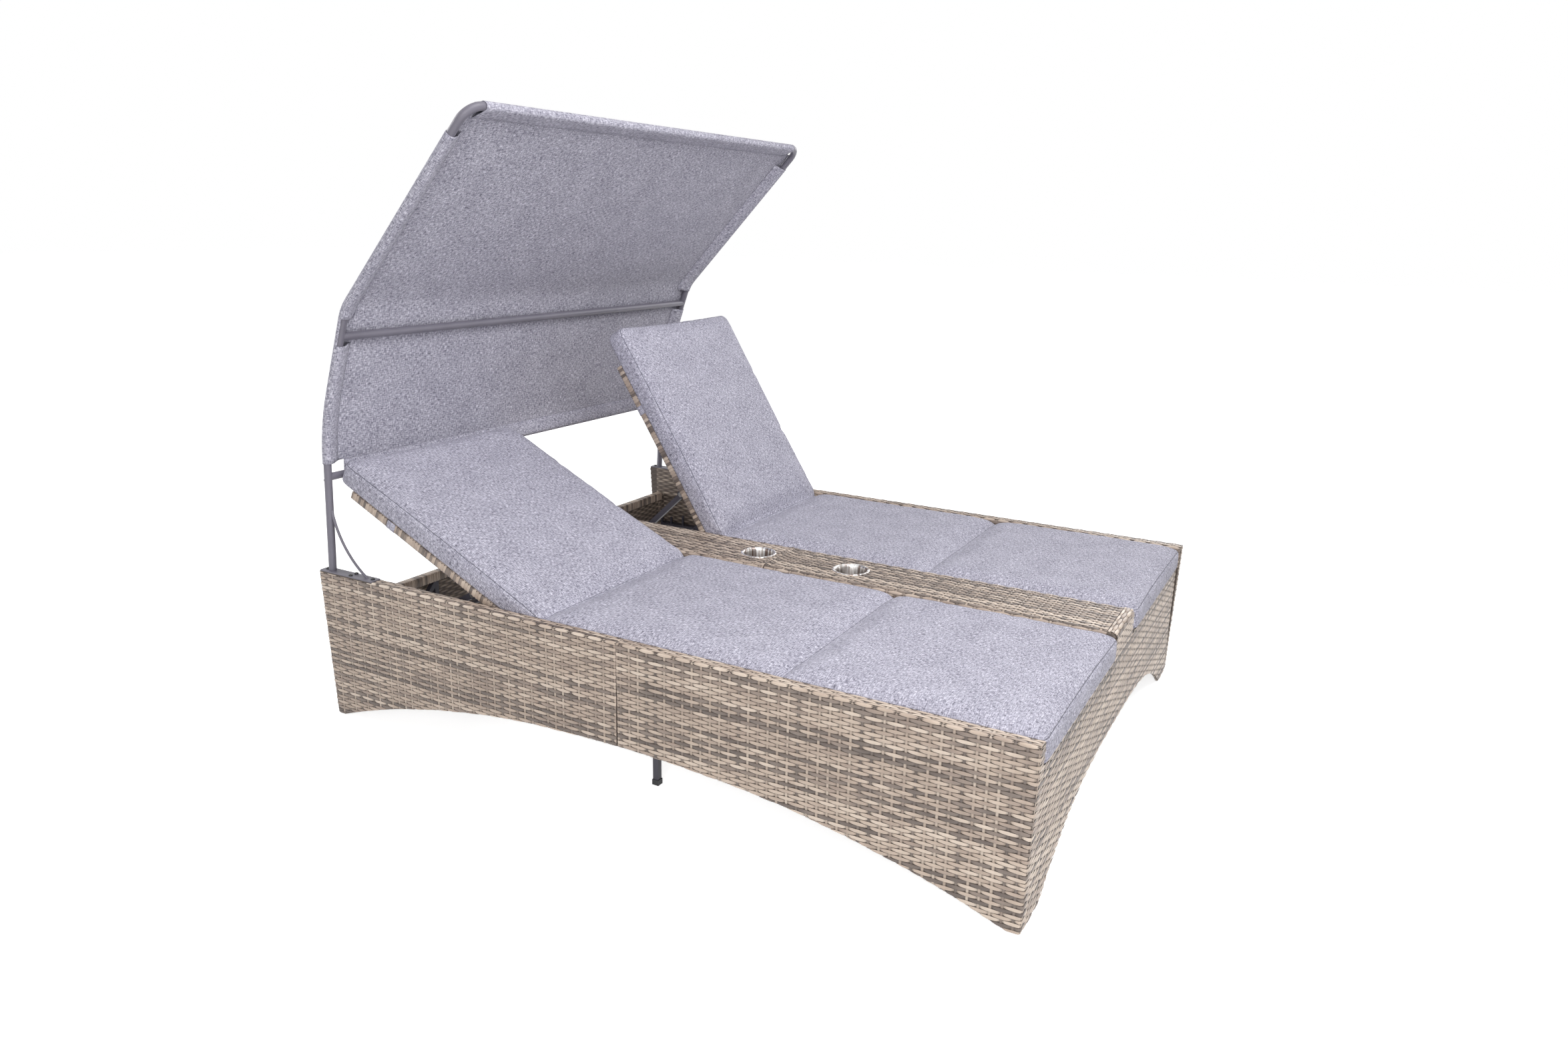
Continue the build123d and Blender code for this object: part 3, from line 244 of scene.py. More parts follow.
coat_sizes = (111 * MM, 1.11 * MM)
slate_coat, dark_coat = (
    hard_finish(name, coat_sizes, (3, 1), ((0.3, darker), (0.7, colour)), 0.12 * MM, gloss=0.12,
                Roughness=roughness, Specular_IOR_Level=0.45)
    for name, darker, colour, roughness in (("slate_powder_coat", "#6C6974", "#77747F", 0.42),
                                            ("dark_powder_coat", "#3F3D47", "#4B4953", 0.45)))
black_bolt, black_plastic = (
    hard_finish(name, (16.7 * MM, grain), (4, 2), ((0.3, colour), (0.75, "#2E2E31")), 0.06 * MM,
                Roughness=roughness)
    for name, colour, roughness, grain in (("black_bolt_steel", "#17171A", 0.32, 0.4 * MM),
                                           ("black_moulded_plastic", "#1C1C1E", 0.5, 0.83 * MM)))
pin_steel = hard_finish("plain_pin_steel", (12.5 * MM, 1.43 * MM), (3, 2),
                        ((0.2, "#8C8C8F"), (0.8, "#B4B4B6")), 0.05 * MM, (EVEN, (0.05, 1, 1)),
                        Roughness=0.35, Metallic=1.0)

# %% [markdown]
# The two cups are pressed from stainless steel and polished upwards, which shows in their
# bump. Upright streaks of near white and taupe, about a finger wide, are painted into their colour:
# painted reflections. A mirror finish would look black down in the cup, where it only sees itself,
# so it is left a little rough, as real polishing does too.

# %% Polished cups
# The colour stops paint upright streaks of near white and taupe: painted reflections.
STREAK = 13.3 * MM
UPRIGHT = (1, 1, 0.02)
stainless = hard_finish("polished_stainless", (STREAK, STREAK), (1, 1),
                        ((0.36, "#8C7C75"), (0.47, "#D9D6D4"), (0.53, "#FAFAFA"), (0.62, "#B9B3AF")),
                        0.15 * MM, (UPRIGHT, UPRIGHT), gloss=0.14, Roughness=0.33, Metallic=1.0)

# %% [markdown]
# ## Mesh tools
# A few short helpers keep the later cells readable. Points of a mesh are read and written all
# at once as an array, which is far quicker than one by one when a weave has fifty thousand of
# them. An operator acts on all that is selected, so everything else is deselected first.

# %% Helpers for points and selections
def read_points(obj):
    """The object's points as an array with one row each."""
    points = np.empty(len(obj.data.vertices) * 3)
    obj.data.vertices.foreach_get("co", points)
    return points.reshape(-1, 3)


def write_points(obj, points):
    obj.data.vertices.foreach_set("co", np.ascontiguousarray(points, dtype=float).ravel())
    obj.data.update()


def select_only(*objects):
    """Deselect everything, then select these and make the first one active."""
    for other in bpy.context.view_layer.objects:
        other.select_set(False)
    for obj in objects:
        obj.select_set(True)
    bpy.context.view_layer.objects.active = objects[0]


def start_edit(obj):
    """Open an object in edit mode with all of it selected."""
    select_only(obj)
    bpy.ops.object.mode_set(mode="EDIT")
    bpy.ops.mesh.select_all(action="SELECT")


def end_edit():
    bpy.ops.object.mode_set(mode="OBJECT")


def join(objects, name):
    select_only(*objects)
    bpy.ops.object.join()
    objects[0].name = objects[0].data.name = name
    return objects[0]


def apply_modifiers(obj):
    select_only(obj)
    for modifier in list(obj.modifiers):
        bpy.ops.object.modifier_apply(modifier=modifier.name)


# %% [markdown]
# Materials read numbers that are stored on the mesh: an attribute holds one number per point
# or per face corner, and a UV map holds a flat place per face corner.

# %% Helpers for numbers stored on a mesh
def set_attribute(obj, name, values, domain="POINT"):
    attribute = obj.data.attributes.get(name) or obj.data.attributes.new(name, "FLOAT", domain)
    attribute.data.foreach_set("value", np.asarray(values, dtype=np.float32))


def corner_points(obj):
    """For each face corner, the number of its point."""
    numbers = np.empty(len(obj.data.loops), dtype=np.int64)
    obj.data.loops.foreach_get("vertex_index", numbers)
    return numbers


def set_uv(obj, name, per_corner):
    layer = obj.data.uv_layers.get(name) or obj.data.uv_layers.new(name=name)
    layer.data.foreach_set("uv", np.ascontiguousarray(per_corner, dtype=np.float32).ravel())


def triangles(obj):
    return sum(len(face.vertices) - 2 for face in obj.data.polygons)


# %% [markdown]
# ## The weave
# The covers are woven by hand from flat strands of outdoor plastic, about 8 mm wide, over
# upright stakes set 24 mm apart. Each strand passes over one stake and under the next, and the
# strand in the next row does the opposite, so the face is all short bright bars with a small
# square of stake between their ends. A bump map of this goes flat at an angle, so the strands
# are real geometry here: one repeat is modelled, two Array modifiers lay it out as a flat
# sheet, and the sheet is trimmed and folded round the panel like the real skin. A stiff strand
# stays flat most of the way and dives close to the next stake, where it is pressed narrower,
# so the gaps between rows open there.

# %% One repeat of the weave
STAKE_PITCH, ROW_PITCH = 24.2 * MM, 8.4 * MM
REPEAT_U, REPEAT_V = 2 * STAKE_PITCH, 2 * ROW_PITCH
ROW_RISE, STAKE_RISE = 1.35 * MM, 0.4 * MM
STAKE_WIDTH = 6.2 * MM
ROLLED_EDGE = 0.95 * MM
INNER_SPREAD = 1.3
WAY_TO_DIVE = (0, 0.33, 0.5, 0.67, 0.84, 1)
ROW_HEIGHTS = (1, 0.97, 0.85, 0.5, -0.4, -1)
ROW_WIDTHS = (8.0, 7.8, 7.3, 6.7, 5.7, 5.0)


def strand(name, steps, along, centre, width, rise, upright):
    """A strand of one repeat, from a grid: it rises and sinks, and its face is rounded across."""
    bpy.ops.mesh.primitive_grid_add(x_subdivisions=steps[0], y_subdivisions=steps[1], size=1)
    obj = bpy.context.object
    obj.name = name
    flat = read_points(obj)
    s = (flat[:, 0] + 0.5) * along
    side = np.where(np.abs(flat[:, 1]) > 0.4, flat[:, 1], flat[:, 1] * INNER_SPREAD)
    t = centre + side * width(s)
    w = rise(s) - ROLLED_EDGE * (2 * np.abs(side)) ** 3
    write_points(obj, np.column_stack((t, s, w) if upright else (s, t, w)))
    if upright:
        obj.data.flip_normals()
    set_attribute(obj, "kind", np.full(len(flat), float(upright)))
    return obj


def row_shape(over, values):
    """A function of the distance along a row that passes over the stake at over, from a table."""
    def at(s):
        from_stake = np.abs((s - over + STAKE_PITCH) % (2 * STAKE_PITCH) - STAKE_PITCH) / STAKE_PITCH
        return np.interp(from_stake, WAY_TO_DIVE, values)
    return at


def stake_height(over):
    return lambda s: STAKE_RISE * np.cos(math.pi * (s - over) / ROW_PITCH)


def row_strand(i):
    over = STAKE_PITCH * (0.5 + i)
    widths, heights = (row_shape(over, np.array(values) * scale)
                       for values, scale in ((ROW_WIDTHS, MM), (ROW_HEIGHTS, ROW_RISE)))
    return strand("row", (12, 4), REPEAT_U, ROW_PITCH * (0.5 + i), widths, heights, False)


def stake_strand(i):
    return strand("stake", (4, 2), REPEAT_V, STAKE_PITCH * (0.5 + i), lambda s: STAKE_WIDTH + 0 * s,
                  stake_height(ROW_PITCH * (1.5 - i)), True)


repeat = join([make(i) for make in (row_strand, stake_strand) for i in (0, 1)], "weave_repeat")
print("one repeat:", triangles(repeat), "triangles")

# %% [markdown]
# The sheet is laid out on a fixed lattice, so sheets that meet have rows at the same heights.
# `bisect` cuts it to size along straight lines.

# %% Lay out a flat woven sheet
WELD = 0.02 * MM


def lay_out(obj, step, count):
    """Repeat an object along a step with an Array."""
    array = obj.modifiers.new("array", "ARRAY")
    array.use_relative_offset, array.use_constant_offset = False, True
    array.constant_offset_displace = step
    array.count = count


def bisect(obj, place, normal):
    """Cut away what lies past a plane."""
    start_edit(obj)
    bpy.ops.mesh.bisect(plane_co=place, plane_no=normal, clear_outer=True)
    end_edit()


def copy_of(obj, name):
    """A second object with a mesh of its own."""
    twin = bpy.data.objects.new(name, obj.data.copy())
    twin.data.name = name
    bpy.context.collection.objects.link(twin)
    return twin


def lattice(name, u0, u1, v0, v1):
    """A flat woven sheet that covers a rectangle, cut off square."""
    sheet = copy_of(repeat, name)
    across, up = (range(math.floor(low / pitch), math.ceil(high / pitch))
                  for low, high, pitch in ((u0, u1, REPEAT_U), (v0, v1, REPEAT_V)))
    lay_out(sheet, (REPEAT_U, 0, 0), len(across))
    lay_out(sheet, (0, REPEAT_V, 0), len(up))
    apply_modifiers(sheet)
    write_points(sheet, read_points(sheet) + [across.start * REPEAT_U, up.start * REPEAT_V, 0])
    start_edit(sheet)
    bpy.ops.mesh.remove_doubles(threshold=WELD)
    end_edit()
    for place, normal in (((u0, 0, 0), (-1, 0, 0)), ((u1, 0, 0), (1, 0, 0)),
                          ((0, v0, 0), (0, -1, 0)), ((0, v1, 0), (0, 1, 0))):
        bisect(sheet, place, normal)
    return sheet


# %% [markdown]
# An arch isn't straight: there each point past the edge is pulled back onto it, whichever way
# is shorter, and faces that lie wholly past it are deleted.

# %% Trim a sheet
def delete_faces(obj, marked):
    """Delete the faces whose points are all marked, and the points they leave behind."""
    mesh = bmesh.new()
    mesh.from_mesh(obj.data)
    mesh.faces.ensure_lookup_table()
    starts = np.empty(len(obj.data.polygons), dtype=np.int64)
    totals = np.empty_like(starts)
    obj.data.polygons.foreach_get("loop_start", starts)
    obj.data.polygons.foreach_get("loop_total", totals)
    counts = np.add.reduceat(marked[corner_points(obj)].astype(int), starts)
    doomed = [mesh.faces[i] for i in np.nonzero(counts == totals)[0]]
    bmesh.ops.delete(mesh, geom=doomed, context="FACES")
    mesh.to_mesh(obj.data)
    mesh.free()


ARCH_LIFT = 3 * MM


def arch(centre, half, rise, power):
    """A trim for a skin whose lower edge is an arch round a centre."""
    def height(u):
        return ARCH_LIFT + rise * (1 - np.clip(np.abs(u) / half, 0, 1) ** power)

    def reach(v):
        return half * np.clip(1 - (v - ARCH_LIFT) / rise, 0, 1) ** (1 / power)

    def trim(flat):
        u, v, w = flat.T
        u = u - centre
        past = v < height(u) - 0.01 * MM
        up_first = height(u) - v < np.abs(reach(v) - np.abs(u))
        new_v = np.where(past & up_first, height(u), v)
        new_u = np.where(past & ~up_first, np.sign(u) * reach(v), u)
        return ~past, np.column_stack((new_u + centre, new_v, w))
    return trim


# %% [markdown]
# The strands come in mixed tones, so each gets a tone from 0, dark, to 1, light: light ones in
# short runs, then one or two darker. A sheet also remembers each strand's number, the place
# along and across it, and how deep each point lies below the face, for the material to read.

# %% Colour a sheet
TONES = 160
FIRST_ROW, FIRST_STAKE, STAKE_NUMBERS = 40, 60, 300
SHALLOW, DEEPEST = 0.5 * MM, 2.4 * MM

rng = np.random.default_rng(11)


def strand_tones(dark_share):
    tones = []
    while len(tones) < TONES:
        tones += list(rng.uniform(0.62, 0.86) + rng.uniform(-0.1, 0.1, rng.choice([1, 1, 2, 3, 5])))
        darker = rng.uniform(0.08, 0.26) if rng.random() < 2 * dark_share else rng.uniform(0.36, 0.52)
        tones += list(darker + rng.uniform(-0.06, 0.06, rng.choice([1, 1, 1, 2])))
    return np.array(tones[:TONES])


def colour_strands(sheet, flat, is_row, dark_share):
    """Store each strand's tone and number. Numbers start well above 0, so none is negative."""
    row = np.floor(flat[:, 1] / ROW_PITCH).astype(int) + FIRST_ROW
    stake = np.floor(flat[:, 0] / STAKE_PITCH).astype(int) + FIRST_STAKE
    row_tones, stake_tones = strand_tones(dark_share), strand_tones(dark_share)
    across = np.where(is_row, flat[:, 1] - row * ROW_PITCH, flat[:, 0] - stake * STAKE_PITCH)
    along = np.where(is_row, flat[:, 0], flat[:, 1])
    set_uv(sheet, "strand", np.column_stack((along, across))[corner_points(sheet)])
    set_attribute(sheet, "tone", np.where(is_row, row_tones[row % TONES], stake_tones[stake % TONES]))
    set_attribute(sheet, "strand_number", np.where(is_row, row, stake + STAKE_NUMBERS))
    set_attribute(sheet, "depth", np.clip((SHALLOW - flat[:, 2]) / DEEPEST, 0, 1))


# %% [markdown]
# Hand weaving wanders a little, so the rows drift together by a fraction of their width. At a
# hem, where the strands turn back round a rod, every row lies on top and is a little wider.

# %% Weave a skin
HEM_REACH, HEM_SPREAD, HEM_LIFT = 8 * MM, 0.12, 0.15 * ROW_RISE


def dress(obj, material, body):
    """Smooth a finished piece, give it its finish, and let it ride on its body."""
    obj.data.shade_smooth()
    obj.data.materials.clear()
    obj.data.materials.append(material)
    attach(obj, body)


def wobble(flat):
    u, v, w = flat.T
    drift = 0.55 * np.sin(u / 0.061 + 3 * np.sin(v / 0.13)) + 0.4 * np.sin(u / 0.023 + v / 0.05)
    lean = 0.8 * np.sin(v / 0.09 + u / 0.4)
    return np.column_stack((u + lean * MM, v + drift * MM, w))


def woven(name, u0, u1, v0, v1, place, trim=None, dark_share=0.36, body="base_and_canopy", cuts=(),
          hem=None):
    """A woven skin: lattice, straight cuts, curved trim, colours, then folded into place."""
    sheet = lattice(name, u0, u1, v0, v1)
    for point, normal in cuts:
        bisect(sheet, point, normal)
    if trim is not None:
        kept, moved = trim(read_points(sheet))
        write_points(sheet, moved)
        delete_faces(sheet, ~kept)
    flat = read_points(sheet)
    kind = np.empty(len(flat), dtype=np.float32)
    sheet.data.attributes["kind"].data.foreach_get("value", kind)
    is_row = kind < 0.5
    colour_strands(sheet, flat, is_row, dark_share)
    if hem is not None:
        at_hem = np.clip(1.1 - np.abs(flat[:, 0] - hem) / HEM_REACH, 0, 1) * is_row
        row_middle = (np.floor(flat[:, 1] / ROW_PITCH) + 0.5) * ROW_PITCH
        flat[:, 1] += (flat[:, 1] - row_middle) * HEM_SPREAD * at_hem
        flat[:, 2] += at_hem * HEM_LIFT
    write_points(sheet, place(wobble(flat)))
    middle = np.array([[(u0 + u1) / 2, v0 + (v1 - v0) * 0.3, 0.0]])
    steps = [place(middle + step)[0] - place(middle)[0] for step in np.eye(3) * MM]
    if np.dot(np.cross(steps[0], steps[1]), steps[2]) < 0:
        sheet.data.flip_normals()
    dress(sheet, plastic_strand, body)
    print(name, triangles(sheet), "triangles")


# %% [markdown]
# ### Strand plastic
# The strands are extruded from polyethylene in mixed tones, from pale sand to taupe, and each
# changes slowly along its length, over a hand's width or two, because the colours are run
# together when it is drawn. Fine ribs 1.1 mm apart run along it. The tone comes from the
# strand's own number, so no two rows match. Where a strand dives between its neighbours, its
# colour is darkened with depth below the surface: painted shade in the gaps. The ribs are too fine to show
# when the whole lounger is in view. Streaks as narrow, but 40 mm long, show a little through
# their colour.

# %% Plastic strand
DRIFT_LENGTH, STREAK_LENGTH, STREAK_WIDTH = 125 * MM, 40 * MM, 1.11 * MM
RIB_PITCH = 1.1 * MM
DRIFT_SHARE, STREAK_SHARE, DEPTH_SHADE_SHARE = 1.5, 0.22, 0.8
NUMBER_STEP = 3.7

plastic_strand, tree, inputs = new_material("outdoor_plastic_strand", Roughness=0.42)
tone, number, depth = (node(tree, "Attribute", attribute_name=name).outputs["Fac"]
                       for name in ("tone", "strand_number", "depth"))
along, across, _ = node(tree, "SeparateXYZ", node(tree, "UVMap", uv_map="strand")).outputs
drift_along = node(tree, "Math", along, DRIFT_LENGTH, operation="DIVIDE")
drift_number = node(tree, "Math", number, NUMBER_STEP, operation="MULTIPLY")
drift = node(tree, "TexNoise", node(tree, "CombineXYZ", drift_along, drift_number), 1, 2)
streak_along = node(tree, "Math", along, STREAK_LENGTH, operation="DIVIDE")
streak_across = node(tree, "Math", across, STREAK_WIDTH, operation="DIVIDE")
streak = node(tree, "TexNoise", node(tree, "CombineXYZ", streak_along, streak_across, number), 1, 2)
mixed = tone
for pattern, share in ((drift, DRIFT_SHARE), (streak, STREAK_SHARE)):
    centred = node(tree, "Math", pattern, 0.5, operation="SUBTRACT")
    mixed = node(tree, "Math", centred, share, mixed, operation="MULTIPLY_ADD")
unshaded = node(tree, "ValToRGB", mixed, stops=(
    (0.0, "#655A54"), (0.2, "#7F736B"), (0.45, "#A08F83"), (0.7, "#BCAA9B"), (1.0, "#D3C3B4")))
# Painted shade: the colour is mixed towards dark brown #443A34 with depth below the face.
depth_shade = node(tree, "Math", depth, DEPTH_SHADE_SHARE, operation="MULTIPLY")
plug(tree, node(tree, "Mix", depth_shade, unshaded, linear("#443A34"), data_type="RGBA"), inputs["Base Color"])
rib_turn = node(tree, "Math", across, 2 * math.pi / RIB_PITCH, operation="MULTIPLY")
ribs = node(tree, "Math", rib_turn, operation="SINE")
relief = node(tree, "Math", ribs, 0.5, streak, operation="MULTIPLY_ADD")
plug(tree, node(tree, "Bump", 1.0, 0.08 * MM, None, relief), inputs["Normal"])
plug(tree, node(tree, "Math", streak, 0.2, 0.3, operation="MULTIPLY_ADD"), inputs["Roughness"])

# %% [markdown]
# ### Covers behind the weave
# Behind the strands lie the CAD covers. Their outer faces show only between strands, and are
# painted a dark brown as painted shade for those gaps. On their inner faces, which nobody weaves
# twice here, the same weave is painted by nodes: a cosine along the row, turned half a wave in
# every other row, gives both its colour and its bump, at the real pitch of rows and stakes, and
# its low parts between the rows are painted dark as painted shade.

# %% Woven cover seen from inside
HALF_WIDTH, HALF_LENGTH, SIDE_HEIGHT = 775 * MM, 980 * MM, 408 * MM
HEAD_FACE, FOOT_FACE = 952 * MM, -972 * MM
FACE_MARGIN = 0.6 * MM
WEAVE_RELIEF = 1.6 * MM
TURNED = 0.7

woven_cover, tree, inputs = new_material("woven_cover", Roughness=0.6)
coordinates = node(tree, "TexCoord").outputs
x, y, z = node(tree, "SeparateXYZ", coordinates["Object"]).outputs
facing = node(tree, "SeparateXYZ", coordinates["Normal"]).outputs
faces_x, faces_z = (node(tree, "Math", node(tree, "Math", facing[axis], operation="ABSOLUTE"), TURNED,
                         operation="GREATER_THAN") for axis in (0, 2))
along = node(tree, "Mix", faces_x, x, y, data_type="FLOAT")
across = node(tree, "Mix", faces_z, z, y, data_type="FLOAT")
rows = node(tree, "Math", across, ROW_PITCH, operation="DIVIDE")
row = node(tree, "Math", rows, operation="FLOOR")
stakes = node(tree, "Math", along, STAKE_PITCH, operation="DIVIDE")
half_waves = node(tree, "Math", node(tree, "Math", row, stakes, operation="ADD"), 0.5, operation="SUBTRACT")
wave = node(tree, "Math", node(tree, "Math", half_waves, math.pi, operation="MULTIPLY"), operation="COSINE")
over = node(tree, "Math", wave, 0.5, 0.5, operation="MULTIPLY_ADD")
in_row = node(tree, "Math", node(tree, "Math", rows, operation="FRACT"), 0.5, operation="SUBTRACT")
from_middle = node(tree, "Math", node(tree, "Math", in_row, operation="ABSOLUTE"), 2, operation="MULTIPLY")
rounded = node(tree, "Math", 1, node(tree, "Math", from_middle, 3, operation="POWER"), operation="SUBTRACT")
height = node(tree, "Math", over, rounded, operation="MULTIPLY")
shade = node(tree, "TexWhiteNoise", row, noise_dimensions="1D")
strands = node(tree, "ValToRGB", shade, stops=((0.0, "#7A6E66"), (0.35, "#9A8B80"), (1.0, "#C0B0A1")))
out_of_gap = node(tree, "Math", node(tree, "Math", height, 0.12, operation="ADD"), 1, operation="MINIMUM")
# Painted shade: the low parts between the painted rows are darkened towards #463D37.
painted = node(tree, "Mix", out_of_gap, linear("#463D37"), strands, data_type="RGBA")
# The outer faces, which show only between the strands, are dark brown #4E443E: painted shade for the gaps.
outside = 0.0
for value, edge in ((node(tree, "Math", x, operation="ABSOLUTE"), HALF_WIDTH), (y, HEAD_FACE),
                    (node(tree, "Math", y, -1, operation="MULTIPLY"), -FOOT_FACE), (z, SIDE_HEIGHT)):
    past = node(tree, "Math", value, edge - FACE_MARGIN, operation="GREATER_THAN")
    outside = node(tree, "Math", outside, past, operation="MAXIMUM")
plug(tree, node(tree, "Mix", outside, painted, linear("#4E443E"), data_type="RGBA"), inputs["Base Color"])
plug(tree, node(tree, "Bump", 1.0, WEAVE_RELIEF, None, height), inputs["Normal"])

# %% [markdown]
# ### Side panels
# A side panel is 408 mm high and 32 mm deep, made in a head half and a foot half that meet in
# a 2 mm seam. Its ends lean inwards by 25 and 9 mm, and its lower edge is one long flat arch.
# The skin is drawn flat as (along, unrolled height, outwards). `along_fold` then takes the
# height up the outside, over the top and down the inside, with a small radius at both edges.

# %% Folding a sheet round the top of a panel
FOLD_RADIUS = 3.0 * MM
SKIN_LIFT = 1.3 * MM


def running_length(points):
    """The distance along a line of points, from the first to each."""
    return np.concatenate(([0], np.cumsum(np.linalg.norm(np.diff(points, axis=0), axis=1))))


def read_off(s, stations, table):
    """Rows of a table at distances between its stations."""
    return np.column_stack([np.interp(s, stations, column) for column in table.T])


def fold_line(corners, radius):
    """A line through corners with rounded bends, as arrays of length, place and normal."""
    places, normals = [], []
    corners = [np.array(c, float) for c in corners]
    for i, corner in enumerate(corners):
        ahead = corners[i + 1] - corner if i + 1 < len(corners) else corner - corners[i - 1]
        back = corner - corners[i - 1] if i else ahead
        ahead, back = ahead / np.linalg.norm(ahead), back / np.linalg.norm(back)
        n_back, n_ahead = np.array([-back[1], back[0]]), np.array([-ahead[1], ahead[0]])
        if i in (0, len(corners) - 1):
            places.append(corner)
            normals.append(n_ahead)
            continue
        inwards = 1 if np.dot(n_back, ahead) > 0 else -1
        centre = corner - back * radius + n_back * inwards * radius
        for angle in np.linspace(0, math.pi / 2, 7):
            normal = n_back * math.cos(angle) + n_ahead * math.sin(angle)
            places.append(centre - normal * inwards * radius)
            normals.append(normal)
    return running_length(np.array(places)), np.array(places), np.array(normals)


def along_fold(line, s, w):
    """Where points at a length along a fold line and an outward offset come to lie."""
    length, places, normals = line
    out = read_off(s, length, normals)
    out /= np.linalg.norm(out, axis=1)[:, None]
    return read_off(s, length, places) + out * w[:, None]


def dip(inset, radius=FOLD_RADIUS):
    """How far a skin sinks near an edge that is rounded by a radius."""
    past = np.clip(radius - inset, 0, radius)
    return radius - np.sqrt(radius ** 2 - past ** 2)


# %% [markdown]
# The ends of the rows turn round the upright edges as well. Past the end line a point's
# remaining length is spent on a quarter turn and then along the end face. At the seam the
# strands only dip out of sight. Under the canopy's base plate the skin lies flat.

# %% Side panel skins
PANEL_DEPTH = 32 * MM
SEAM_HALF = 1 * MM
LOW_ENDS = {1: 955 * MM, -1: -971 * MM}
PLATE_START, PLATE_SINK = 785 * MM, 3.2 * MM
TOP_LIFT_SHARE = 0.7
INSIDE_REACH = 62 * MM
side_trim = arch(-8 * MM, 935 * MM, 148 * MM, 2.3)


def end_line(end, z):
    """Y of a panel's outer edge at a height. end is 1 at the head and -1 at the foot."""
    return LOW_ENDS[end] + (end * HALF_LENGTH - LOW_ENDS[end]) * np.minimum(z, SIDE_HEIGHT) / SIDE_HEIGHT


def side_place(side, end):
    """Folding for one half of a side panel. side is 1 far and -1 near, end 1 head and -1 foot."""
    inner = HALF_WIDTH - PANEL_DEPTH
    corners = [(HALF_WIDTH, 0), (HALF_WIDTH, SIDE_HEIGHT), (inner, SIDE_HEIGHT), (inner, 0)]
    fold = fold_line(corners, FOLD_RADIUS)

    def place(flat):
        u, v, w = flat.T
        on_top = v > SIDE_HEIGHT - FOLD_RADIUS
        w = (w + SKIN_LIFT) * np.where(on_top, TOP_LIFT_SHARE, 1)
        w = np.where(on_top & (u > PLATE_START - 2 * MM), w - PLATE_SINK, w) - dip(np.abs(u) - SEAM_HALF)
        x, z = along_fold(fold, v, -w).T
        turn_start = end_line(end, z) * end - FOLD_RADIUS
        past = np.where(on_top, 0, u * end - turn_start)
        angle = np.clip(past / FOLD_RADIUS, 0, math.pi / 2)
        on_end_face = np.maximum(0, past - FOLD_RADIUS * math.pi / 2)
        turned_x = HALF_WIDTH - FOLD_RADIUS + (FOLD_RADIUS + w) * np.cos(angle) - on_end_face
        turned_y = turn_start + (FOLD_RADIUS + w) * np.sin(angle)
        x = np.where(past > 0, turned_x, x)
        y = np.where(past > 0, turned_y, np.minimum(u * end, turn_start + FOLD_RADIUS))
        return np.column_stack((x * side, y * end, z))
    return place


for side, side_name in ((-1, "near"), (1, "far")):
    for end, end_name in ((1, "head"), (-1, "foot")):
        seam, reach = end * SEAM_HALF, end * (HALF_LENGTH + PANEL_DEPTH - FOLD_RADIUS)
        low_end = end_line(end, 0) + end * (PANEL_DEPTH - FOLD_RADIUS)
        slope = end_line(end, SIDE_HEIGHT) - end_line(end, 0)
        woven(f"{side_name}_{end_name}_side_weave", min(seam, reach), max(seam, reach), ARCH_LIFT,
              SIDE_HEIGHT + PANEL_DEPTH + INSIDE_REACH, side_place(side, end), side_trim, hem=seam,
              cuts=[((low_end, 0, 0), (end * SIDE_HEIGHT, -end * slope, 0))])

# %% [markdown]
# ### End panels
# The end panels stand between the side panels. They are lower than the sides, have an arch
# with steeper legs, and the head ones carry a wrapped rail along their top. At the foot the
# weave runs on up the console's end and turns over onto its top.

# %% End panel skins
PANEL_INNER, CONSOLE_HALF = 743 * MM, 100 * MM
HEAD_TOP, HEAD_RAIL, FOOT_TOP = 312 * MM, 26 * MM, 342 * MM
CONSOLE_END_EDGE, CONSOLE_END_REACH, CONSOLE_END_TOP = 12 * MM, 26 * MM, 18 * MM
end_trim = arch(0, 650 * MM, 142 * MM, 3.2)


def console_foot_trim(flat):
    """The near foot panel stops at its rail beside the console, and goes on up within it."""
    kept, moved = end_trim(flat)
    u, v, w = moved.T
    past = (v > FOOT_TOP) & (u < -CONSOLE_HALF)
    to_side = past & (v - FOOT_TOP > -CONSOLE_HALF - u)
    u = np.where(to_side, -CONSOLE_HALF, u)
    v = np.where(past & ~to_side, FOOT_TOP, v)
    return kept & ~past, np.column_stack((u, v, w))


def end_place(face, outwards, left, right):
    """Stand a flat sheet up against an end face, with its upright edges dipping in."""
    start = -face * outwards
    turned_over = (start + CONSOLE_END_REACH, SIDE_HEIGHT)
    fold = fold_line([(start, 0), (start, SIDE_HEIGHT), turned_over], CONSOLE_END_EDGE)

    def place(flat):
        u, v, w = flat.T
        folded = along_fold(fold, v, w + SKIN_LIFT - dip(np.minimum(u - left, right - u)))
        return np.column_stack((u, -folded[:, 0] * outwards, folded[:, 1]))
    return place


NEAR_END, FAR_END = (-PANEL_INNER, CONSOLE_HALF), (CONSOLE_HALF + 2 * SEAM_HALF, PANEL_INNER)
for name, span, face, outwards, top, trim in (
        ("near_head_end_weave", NEAR_END, HEAD_FACE, 1, HEAD_TOP - HEAD_RAIL, end_trim),
        ("far_head_end_weave", FAR_END, HEAD_FACE, 1, HEAD_TOP - HEAD_RAIL, end_trim),
        ("near_foot_end_weave", NEAR_END, FOOT_FACE, -1, SIDE_HEIGHT + CONSOLE_END_TOP, console_foot_trim),
        ("far_foot_end_weave", FAR_END, FOOT_FACE, -1, FOOT_TOP, end_trim)):
    woven(name, *span, ARCH_LIFT, top, end_place(face, outwards, *span), trim)

# %% [markdown]
# ### Console
# The console is a woven box without a bottom. Its strands run lengthwise over the top and down
# both walls. The two halves meet in a raised seam, and the weave stops under each cup's rim.

